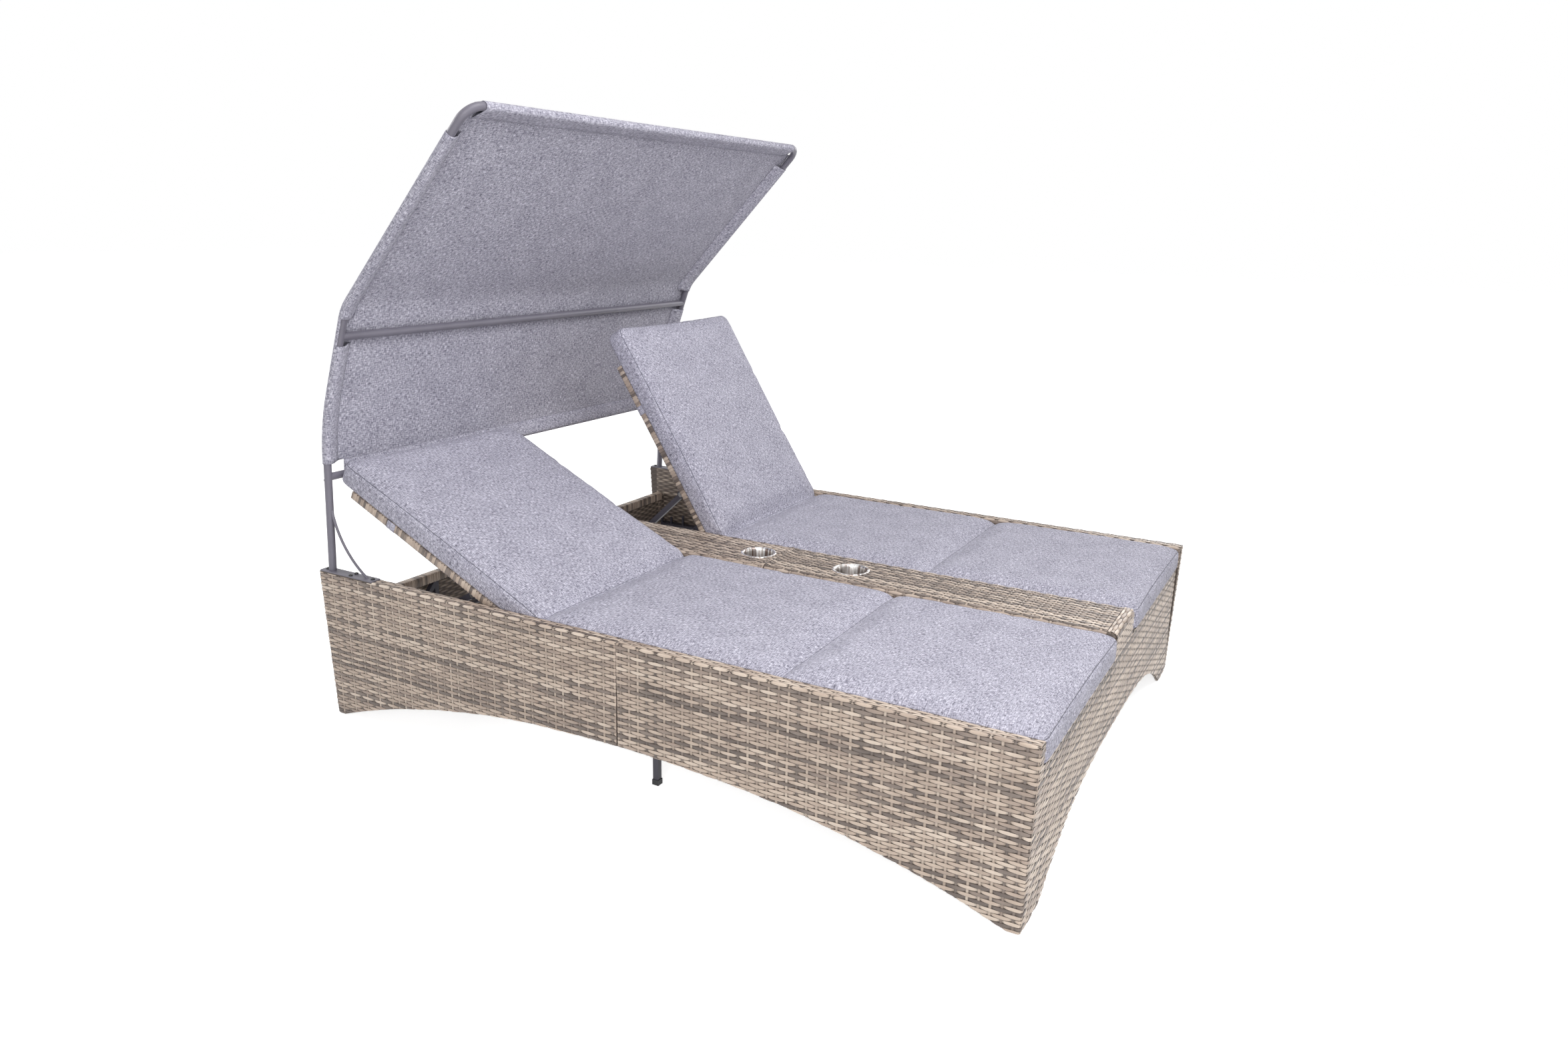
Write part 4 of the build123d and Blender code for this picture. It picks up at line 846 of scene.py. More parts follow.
# %% Console skins
CONSOLE_LOW, CONSOLE_EDGE = 172 * MM, 10 * MM
CONSOLE_WALL = SIDE_HEIGHT - CONSOLE_LOW
CUP_PLACES = {"head": 72 * MM, "foot": -224 * MM}
CONSOLE_STOPS = {"head": HEAD_FACE, "foot": FOOT_FACE + 24.5 * MM}
CUP_HOLE = 49 * MM
BORDER_WIDTH, BORDER_SLOPE, BORDER_HEIGHT, SEAM_DIP = 16 * MM, 4 * MM, 2.2 * MM, 3 * MM
console_fold = fold_line([(-CONSOLE_HALF, CONSOLE_LOW), (-CONSOLE_HALF, SIDE_HEIGHT),
                          (CONSOLE_HALF, SIDE_HEIGHT), (CONSOLE_HALF, CONSOLE_LOW)], CONSOLE_EDGE)
console_round = float(console_fold[0][-1])


def console_place(flat):
    u, v, w = flat.T
    raised = np.clip((BORDER_WIDTH - np.abs(u)) / BORDER_SLOPE, 0, 1) * BORDER_HEIGHT
    drop = np.clip(SEAM_DIP + SEAM_HALF - np.abs(u), 0, SEAM_DIP)
    on_top = (v > CONSOLE_WALL) & (v < console_round - CONSOLE_WALL)
    folded = along_fold(console_fold, v, w * 0.9 + SKIN_LIFT * 0.8 + np.where(on_top, raised, 0) - drop)
    return np.column_stack((folded[:, 0], u, folded[:, 1]))


def console_trim(place, stop):
    """Leave out the skin under the cup's rim and, at the head, beside the end panel."""
    def trim(flat):
        u, v, w = flat.T
        off_middle = v - console_round / 2
        under_rim = np.hypot(u - place, off_middle) <= CUP_HOLE
        low = np.abs(off_middle) > console_round / 2 - (HEAD_TOP - CONSOLE_LOW)
        return ~under_rim & ~(low & (u > stop - HEAD_RAIL) & (stop > 0)), flat
    return trim


for half, place in CUP_PLACES.items():
    stop = CONSOLE_STOPS[half]
    seam = math.copysign(SEAM_HALF, stop)
    woven(f"console_{half}_weave", min(seam, stop), max(seam, stop), 0, console_round, console_place,
          console_trim(place, stop), dark_share=0.48, hem=seam)

# %% [markdown]
# ### Backrest frames
# The back of each backrest shows the same weave between its tubes, and the side tubes are
# bound with strands laid side by side, which shows along their edge as sand and taupe bands.
# One band is a short square sleeve with rounded corners, swollen in its middle, and an Array
# lays the rest.

# %% Bands round a tube
BAND = 9.6 * MM
BAND_CORNER = 3.2 * MM
BAND_NUMBERS = 500


def select_where(obj, kind, test):
    """In edit mode, select only the faces or edges that pass a test."""
    bpy.ops.mesh.select_mode(type=kind)
    bpy.ops.mesh.select_all(action="DESELECT")
    mesh = bmesh.from_edit_mesh(obj.data)
    for part in mesh.edges if kind == "EDGE" else mesh.faces:
        part.select = test(part)
    bmesh.update_edit_mesh(obj.data)


def one_band(name, width, height, skin):
    bpy.ops.mesh.primitive_cube_add(size=1)
    band = bpy.context.object
    band.name = name
    swollen = np.array([width + 2 * skin, BAND, height + 2 * skin])
    write_points(band, read_points(band) * swollen + [0, BAND / 2, 0])
    start_edit(band)
    select_where(band, "FACE", lambda face: abs(face.normal.y) > 0.9)
    bpy.ops.mesh.delete(type="ONLY_FACE")
    select_where(band, "EDGE", lambda edge: abs(edge.verts[0].co.y - edge.verts[1].co.y) > BAND / 2)
    bpy.ops.mesh.bevel(offset=BAND_CORNER, segments=2, affect="EDGES")
    for share in (0.2, 0.8):
        bpy.ops.mesh.select_all(action="SELECT")
        bpy.ops.mesh.bisect(plane_co=(0, BAND * share, 0), plane_no=(0, 1, 0))
    end_edit()
    points = read_points(band)
    at_edge = (points[:, 1] < BAND * 0.1) | (points[:, 1] > BAND * 0.9)
    points[at_edge] *= [(width + 0.2 * MM) / swollen[0], 1, (height + 0.2 * MM) / swollen[2]]
    write_points(band, points)
    return band


def band_sleeve(name, width, height, length, skin):
    """Bands side by side along +Y round a tube of that width and height, whose middle is the axis."""
    sleeve = one_band(name, width, height, skin)
    count = round(length / BAND)
    lay_out(sleeve, (0, BAND, 0), count)
    apply_modifiers(sleeve)
    points = read_points(sleeve)
    points[:, 1] *= length / (count * BAND)
    write_points(sleeve, points)
    number = np.floor(points[:, 1] / length * count * 0.999 + 0.0005).astype(int)
    faces = [number[list(face.vertices)].min() for face in sleeve.data.polygons]
    is_dark = rng.random(count + 2) < 0.45
    tones = np.where(is_dark, rng.uniform(0.05, 0.3, count + 2), rng.uniform(0.55, 0.85, count + 2))
    corner_tones = np.repeat(tones[faces], [len(face.vertices) for face in sleeve.data.polygons])
    set_attribute(sleeve, "tone", corner_tones, "CORNER")
    set_attribute(sleeve, "strand_number", number + BAND_NUMBERS)
    flat = np.column_stack((points[:, 0] + points[:, 2], points[:, 1]))
    set_uv(sleeve, "strand", flat[corner_points(sleeve)])
    return sleeve


def lie_across(sleeve, left, y, z):
    """Turn a sleeve so that it runs along +X from a place."""
    points = read_points(sleeve)
    write_points(sleeve, np.column_stack((left + points[:, 1], y + points[:, 0], z + points[:, 2])))
    sleeve.data.flip_normals()


# %% Bound tubes and woven backs
HINGE = (305 * MM, 356 * MM)
BACK_ANGLES = {"near": 25.2, "far": 57.5}
BACK_LENGTH, BACK_INNER, BACK_OUTER = 630 * MM, 109.6 * MM, 738 * MM
BACK_TUBE, BACK_START, BACK_TOP, BACK_EDGE = 20 * MM, 34 * MM, 620 * MM, 22 * MM
BINDING = 0.9 * MM
BACK_WEAVE_LIFT = 6 * MM


def turned(points, angle):
    """Turn points of a flat backrest up about the hinge, by degrees."""
    c, s = math.cos(math.radians(angle)), math.sin(math.radians(angle))
    y, z = points[:, 1] - HINGE[0], points[:, 2] - HINGE[1]
    return np.column_stack((points[:, 0], HINGE[0] + y * c - z * s, HINGE[1] + y * s + z * c))


def side_of(bed):
    return 1 if bed == "far" else -1


def put_on_bed(obj, points, bed):
    """Write points that are made for the far bed, mirrored if this bed is the near one."""
    write_points(obj, points * [side_of(bed), 1, 1])
    if side_of(bed) < 0:
        obj.data.flip_normals()


for bed, angle in BACK_ANGLES.items():
    tubes = []
    for x in (BACK_INNER + BACK_TUBE / 2, BACK_OUTER - BACK_TUBE / 2):
        sleeve = band_sleeve(f"{bed}_bound_tube", BACK_TUBE, BACK_TUBE, BACK_LENGTH - BACK_START, BINDING)
        write_points(sleeve, read_points(sleeve) + [x, HINGE[0] + BACK_START, HINGE[1]])
        tubes.append(sleeve)
    between = BACK_OUTER - BACK_INNER - 2 * BACK_TUBE
    top = band_sleeve(f"{bed}_bound_tube", BACK_TUBE, BACK_TUBE, between, BINDING)
    lie_across(top, BACK_INNER + BACK_TUBE, HINGE[0] + BACK_TOP, HINGE[1])
    bound = join(tubes + [top], f"{bed}_bound_tubes")
    put_on_bed(bound, turned(read_points(bound), angle), bed)
    dress(bound, plastic_strand, f"{bed}_backrest")

    def back_place(flat, bed=bed, angle=angle):
        u, v, w = flat.T
        lifted = np.column_stack((u, HINGE[0] + v, HINGE[1] + BACK_WEAVE_LIFT - w - SKIN_LIFT * 0.6))
        return turned(lifted, angle) * [side_of(bed), 1, 1]

    woven(f"{bed}_back_weave", BACK_INNER + BACK_TUBE, BACK_OUTER - BACK_TUBE, BACK_EDGE,
          BACK_LENGTH - BACK_EDGE, back_place, dark_share=0.4, body=f"{bed}_backrest")

# %% Bound rail along the head end panels
RAIL_DEPTH = 24 * MM
rails = []
for left, right in (NEAR_END, FAR_END):
    rail = band_sleeve("bound_rail", RAIL_DEPTH, HEAD_RAIL, right - left, 1.2 * MM)
    lie_across(rail, left, HEAD_FACE - RAIL_DEPTH / 2, HEAD_TOP - HEAD_RAIL / 2)
    rails.append(rail)
dress(join(rails, "bound_head_rail"), plastic_strand, "base_and_canopy")

# %% [markdown]
# The console runs on above the head end panel's rail, and its own end shows there from behind.
# Its weave stands inside the rounded edges of the console's top, so the lengthwise strands end
# just over it.

# %% Head end of the console
def console_head_trim(flat):
    u, v, w = flat.T
    top = SIDE_HEIGHT - dip(CONSOLE_HALF - np.abs(u), CONSOLE_EDGE)
    return v < top + 6 * MM, np.column_stack((u, np.minimum(v, top), w))


def console_head_place(flat):
    u, v, w = flat.T
    return np.column_stack((u, HEAD_FACE + w * 0.8 + SKIN_LIFT * 0.7, v))


woven("console_head_end_weave", -CONSOLE_HALF, CONSOLE_HALF, HEAD_TOP, SIDE_HEIGHT, console_head_place,
      console_head_trim, dark_share=0.48)
bpy.data.objects.remove(repeat)

# %% [markdown]
# ## Mattresses
# Each bed has one long mattress, sewn across in two places so that it folds: over the knees
# and at the backrest's hinge. It is a boxed pad: a top, a bottom and an upright gusset joined
# by a seam that shows as a fine dark line, with the filling pushing all of them out. Its cloth
# is woven from polyester yarns of mixed greys, so it shows short light and dark slubs along
# both threads. The real threads are under a millimetre wide. They are drawn two to three times
# as wide, so that the fleck still shows when the whole lounger is in view.

# %% Melange fabric
FLECK_SHARES = ((0.42, 0.22, 1.0, 1.0, 1.0), (0.42, 1.0, 0.22, 1.0, 1.0), (0.16, 1.0, 1.0, 0.4, 3.0))
CLOUD_SIZE, CLOUD_SHARE = 71.4 * MM, 0.1
STITCH_OFFSET, STITCH_HALF, STITCH_SHARE = 1.6 * MM, 1.1 * MM, 0.7
VALLEY = 5 * MM
CLOTH_RELIEF = 0.9 * MM


def melange(name, colours, thread):
    """A linen look. Each row of FLECK_SHARES is a share, two stretches, a scale and a detail."""
    material, tree, inputs = new_material(name, Roughness=0.92, Specular_IOR_Level=0.15, Sheen_Weight=0.08,
                                          Sheen_Roughness=0.6)
    cloth = node(tree, "UVMap", uv_map="cloth")
    slub = 0.0
    for share, along, across, scale, detail in FLECK_SHARES:
        stretched = node(tree, "Mapping", cloth, None, None, (along, across, 1))
        threads = node(tree, "TexNoise", stretched, scale / thread, detail)
        slub = node(tree, "Math", threads, share, slub, operation="MULTIPLY_ADD")
    cloud = node(tree, "TexNoise", cloth, 1 / CLOUD_SIZE, 3)
    uneven_dye = node(tree, "Math", cloud, 0.5, operation="SUBTRACT")
    value = node(tree, "Math", uneven_dye, CLOUD_SHARE, slub, operation="MULTIPLY_ADD")
    yarns = node(tree, "ValToRGB", value, stops=tuple(zip((0.36, 0.46, 0.54, 0.64), colours)))
    seam = node(tree, "Attribute", attribute_name="seam").outputs["Fac"]
    off_stitch = node(tree, "Math", node(tree, "Math", seam, STITCH_OFFSET, operation="SUBTRACT"),
                      operation="ABSOLUTE")
    line = node(tree, "Math", off_stitch, STITCH_HALF, operation="LESS_THAN")
    stitched = node(tree, "Math", line, STITCH_SHARE, operation="MULTIPLY")
    plug(tree, node(tree, "Mix", stitched, yarns, linear("#4E4D5A"), data_type="RGBA"), inputs["Base Color"])
    valley = node(tree, "Math", node(tree, "Math", seam, VALLEY, operation="DIVIDE"), 1, operation="MINIMUM")
    deep = node(tree, "Math", valley, 1.2, operation="MULTIPLY")
    relief = node(tree, "Math", slub, 0.5, deep, operation="MULTIPLY_ADD")
    plug(tree, node(tree, "Bump", 1.0, CLOTH_RELIEF, None, relief), inputs["Normal"])
    return material


cushion_fabric = melange("cushion_melange", ("#6A6876", "#9C9AA8", "#B4B2C1", "#DCDAE5"), 2.3 * MM)
canopy_fabric = melange("canopy_melange", ("#6A6876", "#9997A5", "#B3B1BE", "#DBD9E3"), 2.5 * MM)

# %% [markdown]
# The mattress is drawn lying flat and pumped up there by Blender's cloth with air pressure,
# with its underside and the sewn folds held still. Then its back part is turned up about the
# hinge for each bed. A grid is extruded into the box, so its seams stay exact rows of points,
# and each face corner keeps its place on the flat cloth for the threads and seams.

# %% Flat mattress
MATTRESS_X = (105 * MM, 738 * MM)
MATTRESS_Y = (-980 * MM, 969 * MM)
PAD_HEIGHT = 52 * MM
KNEE_FOLD, HINGE_FOLD = -402 * MM, 250 * MM
ACROSS, ALONG, UP = 54, 166, 5


def mattress_box():
    bpy.ops.mesh.primitive_grid_add(x_subdivisions=ACROSS, y_subdivisions=ALONG, size=1)
    pad = bpy.context.object
    pad.name = "mattress"
    start_edit(pad)
    bpy.ops.mesh.extrude_region_move(TRANSFORM_OT_translate={"value": (0, 0, 1)})
    select_where(pad, "EDGE", lambda edge: abs(edge.verts[0].co.z - edge.verts[1].co.z) > 0.5)
    bpy.ops.mesh.subdivide(number_cuts=UP - 1)
    bpy.ops.mesh.select_all(action="SELECT")
    bpy.ops.mesh.normals_make_consistent(inside=False)
    end_edit()
    return pad


flat_pad = mattress_box()
unit = read_points(flat_pad)
rows_y = np.linspace(*MATTRESS_Y, ALONG + 1)
for fold in (KNEE_FOLD, HINGE_FOLD):
    rows_y[np.argmin(np.abs(rows_y - fold))] = fold
pad_x = MATTRESS_X[0] + (unit[:, 0] + 0.5) * (MATTRESS_X[1] - MATTRESS_X[0])
pad_y = rows_y[np.rint((unit[:, 1] + 0.5) * ALONG).astype(int)]
pad_z = unit[:, 2] * PAD_HEIGHT
print("mattress:", len(unit), "points, rows", round((rows_y[1] - rows_y[0]) / MM, 1), "mm apart")

# %% [markdown]
# Two stores of numbers per face corner let the material draw on the cloth: its flat place, and
# the distance to the nearest seam. On the gusset the flat place runs along the seam and up.

# %% Cloth coordinates and seam distances
GUSSET_SHIFT = 3
FOLD_STITCH, GUSSET_STITCH = 2 * MM, 3 * MM


def from_edge(x, y):
    """Distance to the nearest edge of the flat mattress."""
    return np.minimum.reduce([x - MATTRESS_X[0], MATTRESS_X[1] - x, y - MATTRESS_Y[0], MATTRESS_Y[1] - y])


def from_fold(y):
    return np.minimum(np.abs(y - KNEE_FOLD), np.abs(y - HINGE_FOLD))


x, y, z = np.column_stack((pad_x, pad_y, pad_z))[corner_points(flat_pad)].T
normals = np.repeat(np.array([face.normal for face in flat_pad.data.polygons]),
                    [len(face.vertices) for face in flat_pad.data.polygons], axis=0)
on_gusset = np.abs(normals[:, 2]) < 0.5
faces_x = on_gusset & (np.abs(normals[:, 0]) > 0.5)
cloth_place = np.column_stack((np.where(faces_x, y, x), np.where(on_gusset, z + GUSSET_SHIFT, y)))
set_uv(flat_pad, "cloth", cloth_place)
seam_distance = np.where(on_gusset, np.minimum(z, PAD_HEIGHT - z) + GUSSET_STITCH,
                         np.minimum(from_edge(x, y), from_fold(y) + FOLD_STITCH))
set_attribute(flat_pad, "seam", seam_distance, "CORNER")

# %% [markdown]
# Before the air goes in, the corners are rounded, the sides are drawn in at both folds, the top
# gets a low crown and the folds are pinched down into it.

# %% Rounded corners, crown and folds
CORNER_RADIUS = 30 * MM
DRAW_IN, DRAW_REACH = 5 * MM, 14 * MM
PINCH, PINCH_REACH = 11 * MM, 9 * MM
CROWN, CROWN_REACH = 7 * MM, 70 * MM
NEAREST = 0.5 * MM


def round_corners(x, y, radius):
    """Move points of the mattress's rectangle so that its corners become round."""
    dx, dy = (value - np.clip(value, low + radius, high - radius)
              for value, (low, high) in ((x, MATTRESS_X), (y, MATTRESS_Y)))
    length = np.maximum(np.hypot(dx, dy), 1e-9)
    pull = np.maximum(np.abs(dx), np.abs(dy)) / length - 1
    return x + dx * pull, y + dy * pull


on_top = pad_z > PAD_HEIGHT * 0.9
far_half = np.where(pad_x > sum(MATTRESS_X) / 2, 1, -1)
edge_near, fold_near = from_edge(pad_x, pad_y), from_fold(pad_y)
rounded_x, rounded_y = round_corners(pad_x, pad_y, CORNER_RADIUS)
at_side = np.minimum(pad_x - MATTRESS_X[0], MATTRESS_X[1] - pad_x) < 1 * MM
rounded_x -= far_half * DRAW_IN * np.exp(-(fold_near / DRAW_REACH) ** 2) * at_side
pinch = PINCH * np.exp(-(fold_near / PINCH_REACH) ** 2)
crown = CROWN * np.clip(edge_near / CROWN_REACH, 0, 1) ** 0.6
write_points(flat_pad, np.column_stack((rounded_x, rounded_y, pad_z + (crown - pinch) * on_top)))

# %% [markdown]
# The cloth run: light pressure, no gravity, the underside and the folds pinned. The growth of
# each point is capped so that the pad stays inside its real height, and the result is applied
# to the mesh, so nothing is left to simulate later.

# %% Pump up the mattress
PRESSURE, FRAMES, CAP, GROW = 4.0, 20, 14 * MM, 0.01
SEAM_HOLD = 0.35


def pump(obj, held):
    """Blow a closed pad up by cloth pressure. held is 1 where points stay still."""
    before = read_points(obj)
    group = obj.vertex_groups.new(name="held")
    for weight in np.unique(held[held > 0]):
        group.add([int(i) for i in np.nonzero(held == weight)[0]], float(weight), "REPLACE")
    cloth = obj.modifiers.new("cloth", "CLOTH")
    settings = cloth.settings
    settings.quality, settings.mass = 5, 0.3
    settings.use_pressure, settings.uniform_pressure_force = True, PRESSURE
    settings.vertex_group_mass = "held"
    settings.tension_stiffness = settings.compression_stiffness = 15
    settings.bending_stiffness = 0.5
    settings.shrink_min = -GROW
    settings.effector_weights.gravity = 0
    cloth.collision_settings.use_collision = False
    cloth.point_cache.frame_start, cloth.point_cache.frame_end = 1, FRAMES
    for step in range(1, FRAMES + 1):
        bpy.context.scene.frame_set(step)
    posed = obj.evaluated_get(bpy.context.evaluated_depsgraph_get())
    moved = read_points(posed) - before
    obj.modifiers.remove(cloth)
    obj.vertex_groups.remove(group)
    reach = np.linalg.norm(moved, axis=1)
    moved *= (np.minimum(reach, CAP) / np.maximum(reach, 1e-9))[:, None]
    write_points(obj, before + moved)
    bpy.context.scene.frame_set(1)
    print(obj.name, "moved by up to", round(reach.max() / MM, 1), "mm, capped at", round(CAP / MM, 1))


pinned = (pad_z < NEAREST) | (fold_near < NEAREST) & on_top
pump(flat_pad, np.where(pinned, 1.0, np.where(edge_near < NEAREST, SEAM_HOLD, 0.0)))

# %% [markdown]
# The gusset is eased onto the seams, so it stands in small gathers between them, and the top
# puckers a little along its edge. These are too fine for the cloth run, so they are added
# as waves of uneven length, strongest midway up the gusset.

# %% Gathers along the gusset
GATHER, PUCKER, PUCKER_REACH = 1.7 * MM, 0.9 * MM, 45 * MM


def uneven(s):
    """Waves from -1 to 1 that don't repeat over the mattress."""
    long_wave = np.sin(s / (7.1 * MM) + 2 * np.sin(s / (83 * MM)))
    return (long_wave + 0.8 * np.sin(s / (11.3 * MM) + 1.7) + 0.7 * np.sin(s / (23 * MM))) / 2.5


points = read_points(flat_pad)
on_side = edge_near < NEAREST
on_end = np.minimum(pad_y - MATTRESS_Y[0], MATTRESS_Y[1] - pad_y) < NEAREST
along_edge = np.where(on_end, pad_x, pad_y)
gather = GATHER * uneven(along_edge) * on_side * np.sin(math.pi * np.clip(pad_z / PAD_HEIGHT, 0, 1))
points[:, 0] += np.where(on_end, 0, gather * far_half)
points[:, 1] += np.where(on_end, gather * np.where(pad_y > 0, 1, -1), 0)
near_rim = on_top * np.exp(-(edge_near / PUCKER_REACH) ** 2)
points[:, 2] += PUCKER * uneven(along_edge + 0.4 * edge_near) * near_rim * ~on_side
write_points(flat_pad, points)

# %% [markdown]
# Both mattresses are copies of this pad. The seat and leg parts lie on the deck, and the back
# part is lifted onto the backrest's weave and turned with it. Around the fold the two
# placings are mixed, which squeezes the top and stretches the underside as real foam does.

# %% Lay a mattress on each bed
DECK_TOP = 348.4 * MM
BACK_LIFT = 10.4 * MM
MIX_LENGTH = 16 * MM


def lay_mattress(bed, angle):
    pad = copy_of(flat_pad, f"{bed}_mattress")
    points = read_points(pad)
    c, s = math.cos(math.radians(angle)), math.sin(math.radians(angle))
    top = PAD_HEIGHT + BACK_LIFT
    start = (DECK_TOP + PAD_HEIGHT - HINGE[1] - top * c) / s
    meet_y = HINGE[0] + start * c - top * s
    seat = points + [0, 0, DECK_TOP]
    seat[:, 1] += (meet_y - HINGE_FOLD) * np.clip((points[:, 1] - KNEE_FOLD) / (HINGE_FOLD - KNEE_FOLD), 0, 1)
    along = points[:, 1] - HINGE_FOLD + start
    lifted = np.column_stack((points[:, 0], HINGE[0] + along, HINGE[1] + BACK_LIFT + points[:, 2]))
    back = turned(lifted, angle)
    share = np.clip((points[:, 1] - HINGE_FOLD) / MIX_LENGTH + 0.5, 0, 1)
    share = (share * share * (3 - 2 * share))[:, None]
    put_on_bed(pad, seat * (1 - share) + back * share, bed)
    smooth = pad.modifiers.new("smooth", "SUBSURF")
    smooth.levels = smooth.render_levels = 1
    apply_modifiers(pad)
    pad.data.shade_smooth()
    pad.data.materials.clear()
    pad.data.materials.append(cushion_fabric)
    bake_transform(pad)
    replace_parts(pad, f"{bed}_back_cushion", f"{bed}_seat_cushion", f"{bed}_leg_cushion")
    print(pad.name, triangles(pad), "triangles, fold at y", round(meet_y / MM), "mm")


for bed, angle in BACK_ANGLES.items():
    lay_mattress(bed, angle)
bpy.data.objects.remove(flat_pad)

# %% [markdown]
# ## Canopy cloth
# The canopy is one piece of the same melange, sewn into sleeves all round: the side sleeves
# slide over the bent tubes, the front one over the front bar, and the hem over the lower bar.
# It runs on the outside of the frame, so from the beds the bars are in front of it. It is one
# grid: its columns go from the stitch line, round the near tube, across and round the far
# tube back to the stitch line, and its rows follow the tube from the hem to the front.

# %% The line of the side tube
SIDE_X = 758 * MM
CLOTH_OUT, SLEEVE = 11.4 * MM, 11.6 * MM
LOW_BAR, MIDDLE_BAR_HEIGHT = (933.8 * MM, 667 * MM), 1036 * MM
SWEEP, KINK, FRONT = (926 * MM, 804 * MM), (817 * MM, 1104 * MM), (378 * MM, 1564 * MM)
SWEEP_RADIUS, KINK_RADIUS = 600 * MM, 120 * MM
ROW_STEP = 9 * MM


def rounded_line(points, radii, step):
    """Points along a line whose corners are replaced by arcs, and the direction at each."""
    points = [np.array(point, float) for point in points]
    places = [points[0]]
    for before, corner, after, radius in zip(points[:-2], points[1:-1], points[2:], radii):
        a, b = ((other - corner) / np.linalg.norm(other - corner) for other in (before, after))
        half = math.acos(np.clip(np.dot(a, b), -1, 1)) / 2
        back = radius / math.tan(half)
        centre = corner + (a + b) / np.linalg.norm(a + b) * radius / math.sin(half)
        for share in np.linspace(0, 1, 9):
            mixed = corner + (a * (1 - share) + b * share) * back - centre
            places.append(centre + mixed / np.linalg.norm(mixed) * radius)
    places = np.array(places + [points[-1]])
    length = running_length(places)
    s = np.linspace(0, length[-1], int(length[-1] / step) + 1)
    line = read_off(s, length, places)
    direction = np.gradient(line, axis=0)
    return s, line, direction / np.linalg.norm(direction, axis=1)[:, None]


tube_s, tube_line, tube_dir = rounded_line([LOW_BAR, SWEEP, KINK, FRONT],
                                           [SWEEP_RADIUS, KINK_RADIUS], ROW_STEP)
outward = np.column_stack((tube_dir[:, 1], -tube_dir[:, 0]))
tube_end = tube_s[-1]
bar_s = float(tube_s[np.argmin(np.abs(tube_line[:, 1] - MIDDLE_BAR_HEIGHT))])
print("tube from hem to front:", round(tube_end / MM), "mm, middle bar at", round(bar_s / MM), "mm")

# %% [markdown]
# Each column has a place across the lounger and an offset from the tube's middle line. Each
# row is a place along the tube, or a turn round the lower bar or the front bar with the
# turned-in cloth that follows it. A point's place is the row's line plus the column's offset.

# %% Columns and rows of the canopy
STITCH_IN = 42 * MM
TURN_IN = {"low": 34 * MM, "front": 42 * MM}
TURN_IN_START = 12 * MM
INNER_PLY = CLOTH_OUT - 1.6 * MM

side_columns = [(SIDE_X - STITCH_IN, INNER_PLY), (SIDE_X - STITCH_IN + 14 * MM, 2 * MM),
                (SIDE_X - STITCH_IN + 26 * MM, -7 * MM)]
side_columns += [(SIDE_X + SLEEVE * math.sin(turn), -SLEEVE * math.cos(turn))
                 for turn in np.radians(np.linspace(-30, 180, 12))]
inner_x = np.linspace(SIDE_X - 14 * MM, -SIDE_X + 14 * MM, 96)
other_side = [(-x, offset) for x, offset in reversed(side_columns)]
columns = np.array(side_columns + [(x, CLOTH_OUT) for x in inner_x] + other_side)

turns = np.linspace(0, math.pi, 9)
rows = [("low_in", s) for s in np.linspace(TURN_IN["low"], TURN_IN_START, 3)]
rows += [("low_turn", a) for a in turns[:0:-1]]
rows += [("line", s) for s in tube_s]
rows += [("front_turn", a) for a in turns[1:]]
rows += [("front_in", s) for s in np.linspace(TURN_IN_START, TURN_IN["front"], 3)]


def row_points(kind, value, offset):
    """Y and Z of a row for an array of offsets from the tube's line."""
    if kind == "line":
        return read_off(value, tube_s, tube_line) + offset[:, None] * read_off(value, tube_s, outward)
    bar, part = kind.split("_")
    low = bar == "low"
    end = tube_line[0] if low else tube_line[-1]
    out, ahead = (outward[0], -tube_dir[0]) if low else (outward[-1], tube_dir[-1])
    if part == "turn":
        point = end + SLEEVE * (out * math.cos(value) + ahead * math.sin(value))
    else:
        share = value / TURN_IN[bar]
        point = end - ahead * value + out * (INNER_PLY * share - SLEEVE * (1 - share))
    return np.repeat(point[None], len(offset), axis=0)


grid = np.empty((len(rows), len(columns), 3))
grid[:, :, 0] = columns[:, 0]
for i, (kind, value) in enumerate(rows):
    grid[i, :, 1:] = row_points(kind, value, columns[:, 1])

# %% [markdown]
# The cloth isn't drum tight. Between the kink and the front bar it sags by about 10 mm, and
# faint waves run from the corners and the hem, where it is pulled.

# %% Sag and waves
ROOF_SAG, BACK_SAG = 10 * MM, 3 * MM
FRONT_WAVE, HEM_WAVE = 1.1 * MM, 0.9 * MM

is_line = np.array([kind == "line" for kind, _ in rows])
is_low = np.array([kind.startswith("low") for kind, _ in rows])
row_s = np.where(is_line, [value for _, value in rows], np.where(is_low, 0.0, tube_end))
roof, back_part = np.clip((row_s - bar_s) / (tube_end - bar_s), 0, 1), np.clip(row_s / bar_s, 0, 1)
sag = ROOF_SAG * np.sin(math.pi * roof) ** 0.8 + BACK_SAG * np.sin(math.pi * back_part)
across_share = np.clip(1 - (np.abs(columns[:, 0]) / (SIDE_X - 20 * MM)) ** 2, 0, 1)
wave_x, wave_s = np.meshgrid(columns[:, 0], row_s)
at_front, at_hem = np.exp(-((tube_end - wave_s) / 0.14) ** 2), np.exp(-(wave_s / 0.12) ** 2)
ripples = FRONT_WAVE * np.sin(wave_x / 0.055 + 2.5 * np.sin(wave_s / 0.2)) * at_front
ripples += HEM_WAVE * np.sin(wave_x / 0.07 + 1.3) * at_hem
is_middle = np.zeros(len(columns), bool)
is_middle[len(side_columns):-len(side_columns)] = True
shift = (sag[:, None] * across_share + ripples * across_share ** 0.5) * is_line[:, None] * is_middle
grid[:, :, 1:] -= shift[:, :, None] * read_off(row_s, tube_s, outward)[:, None]

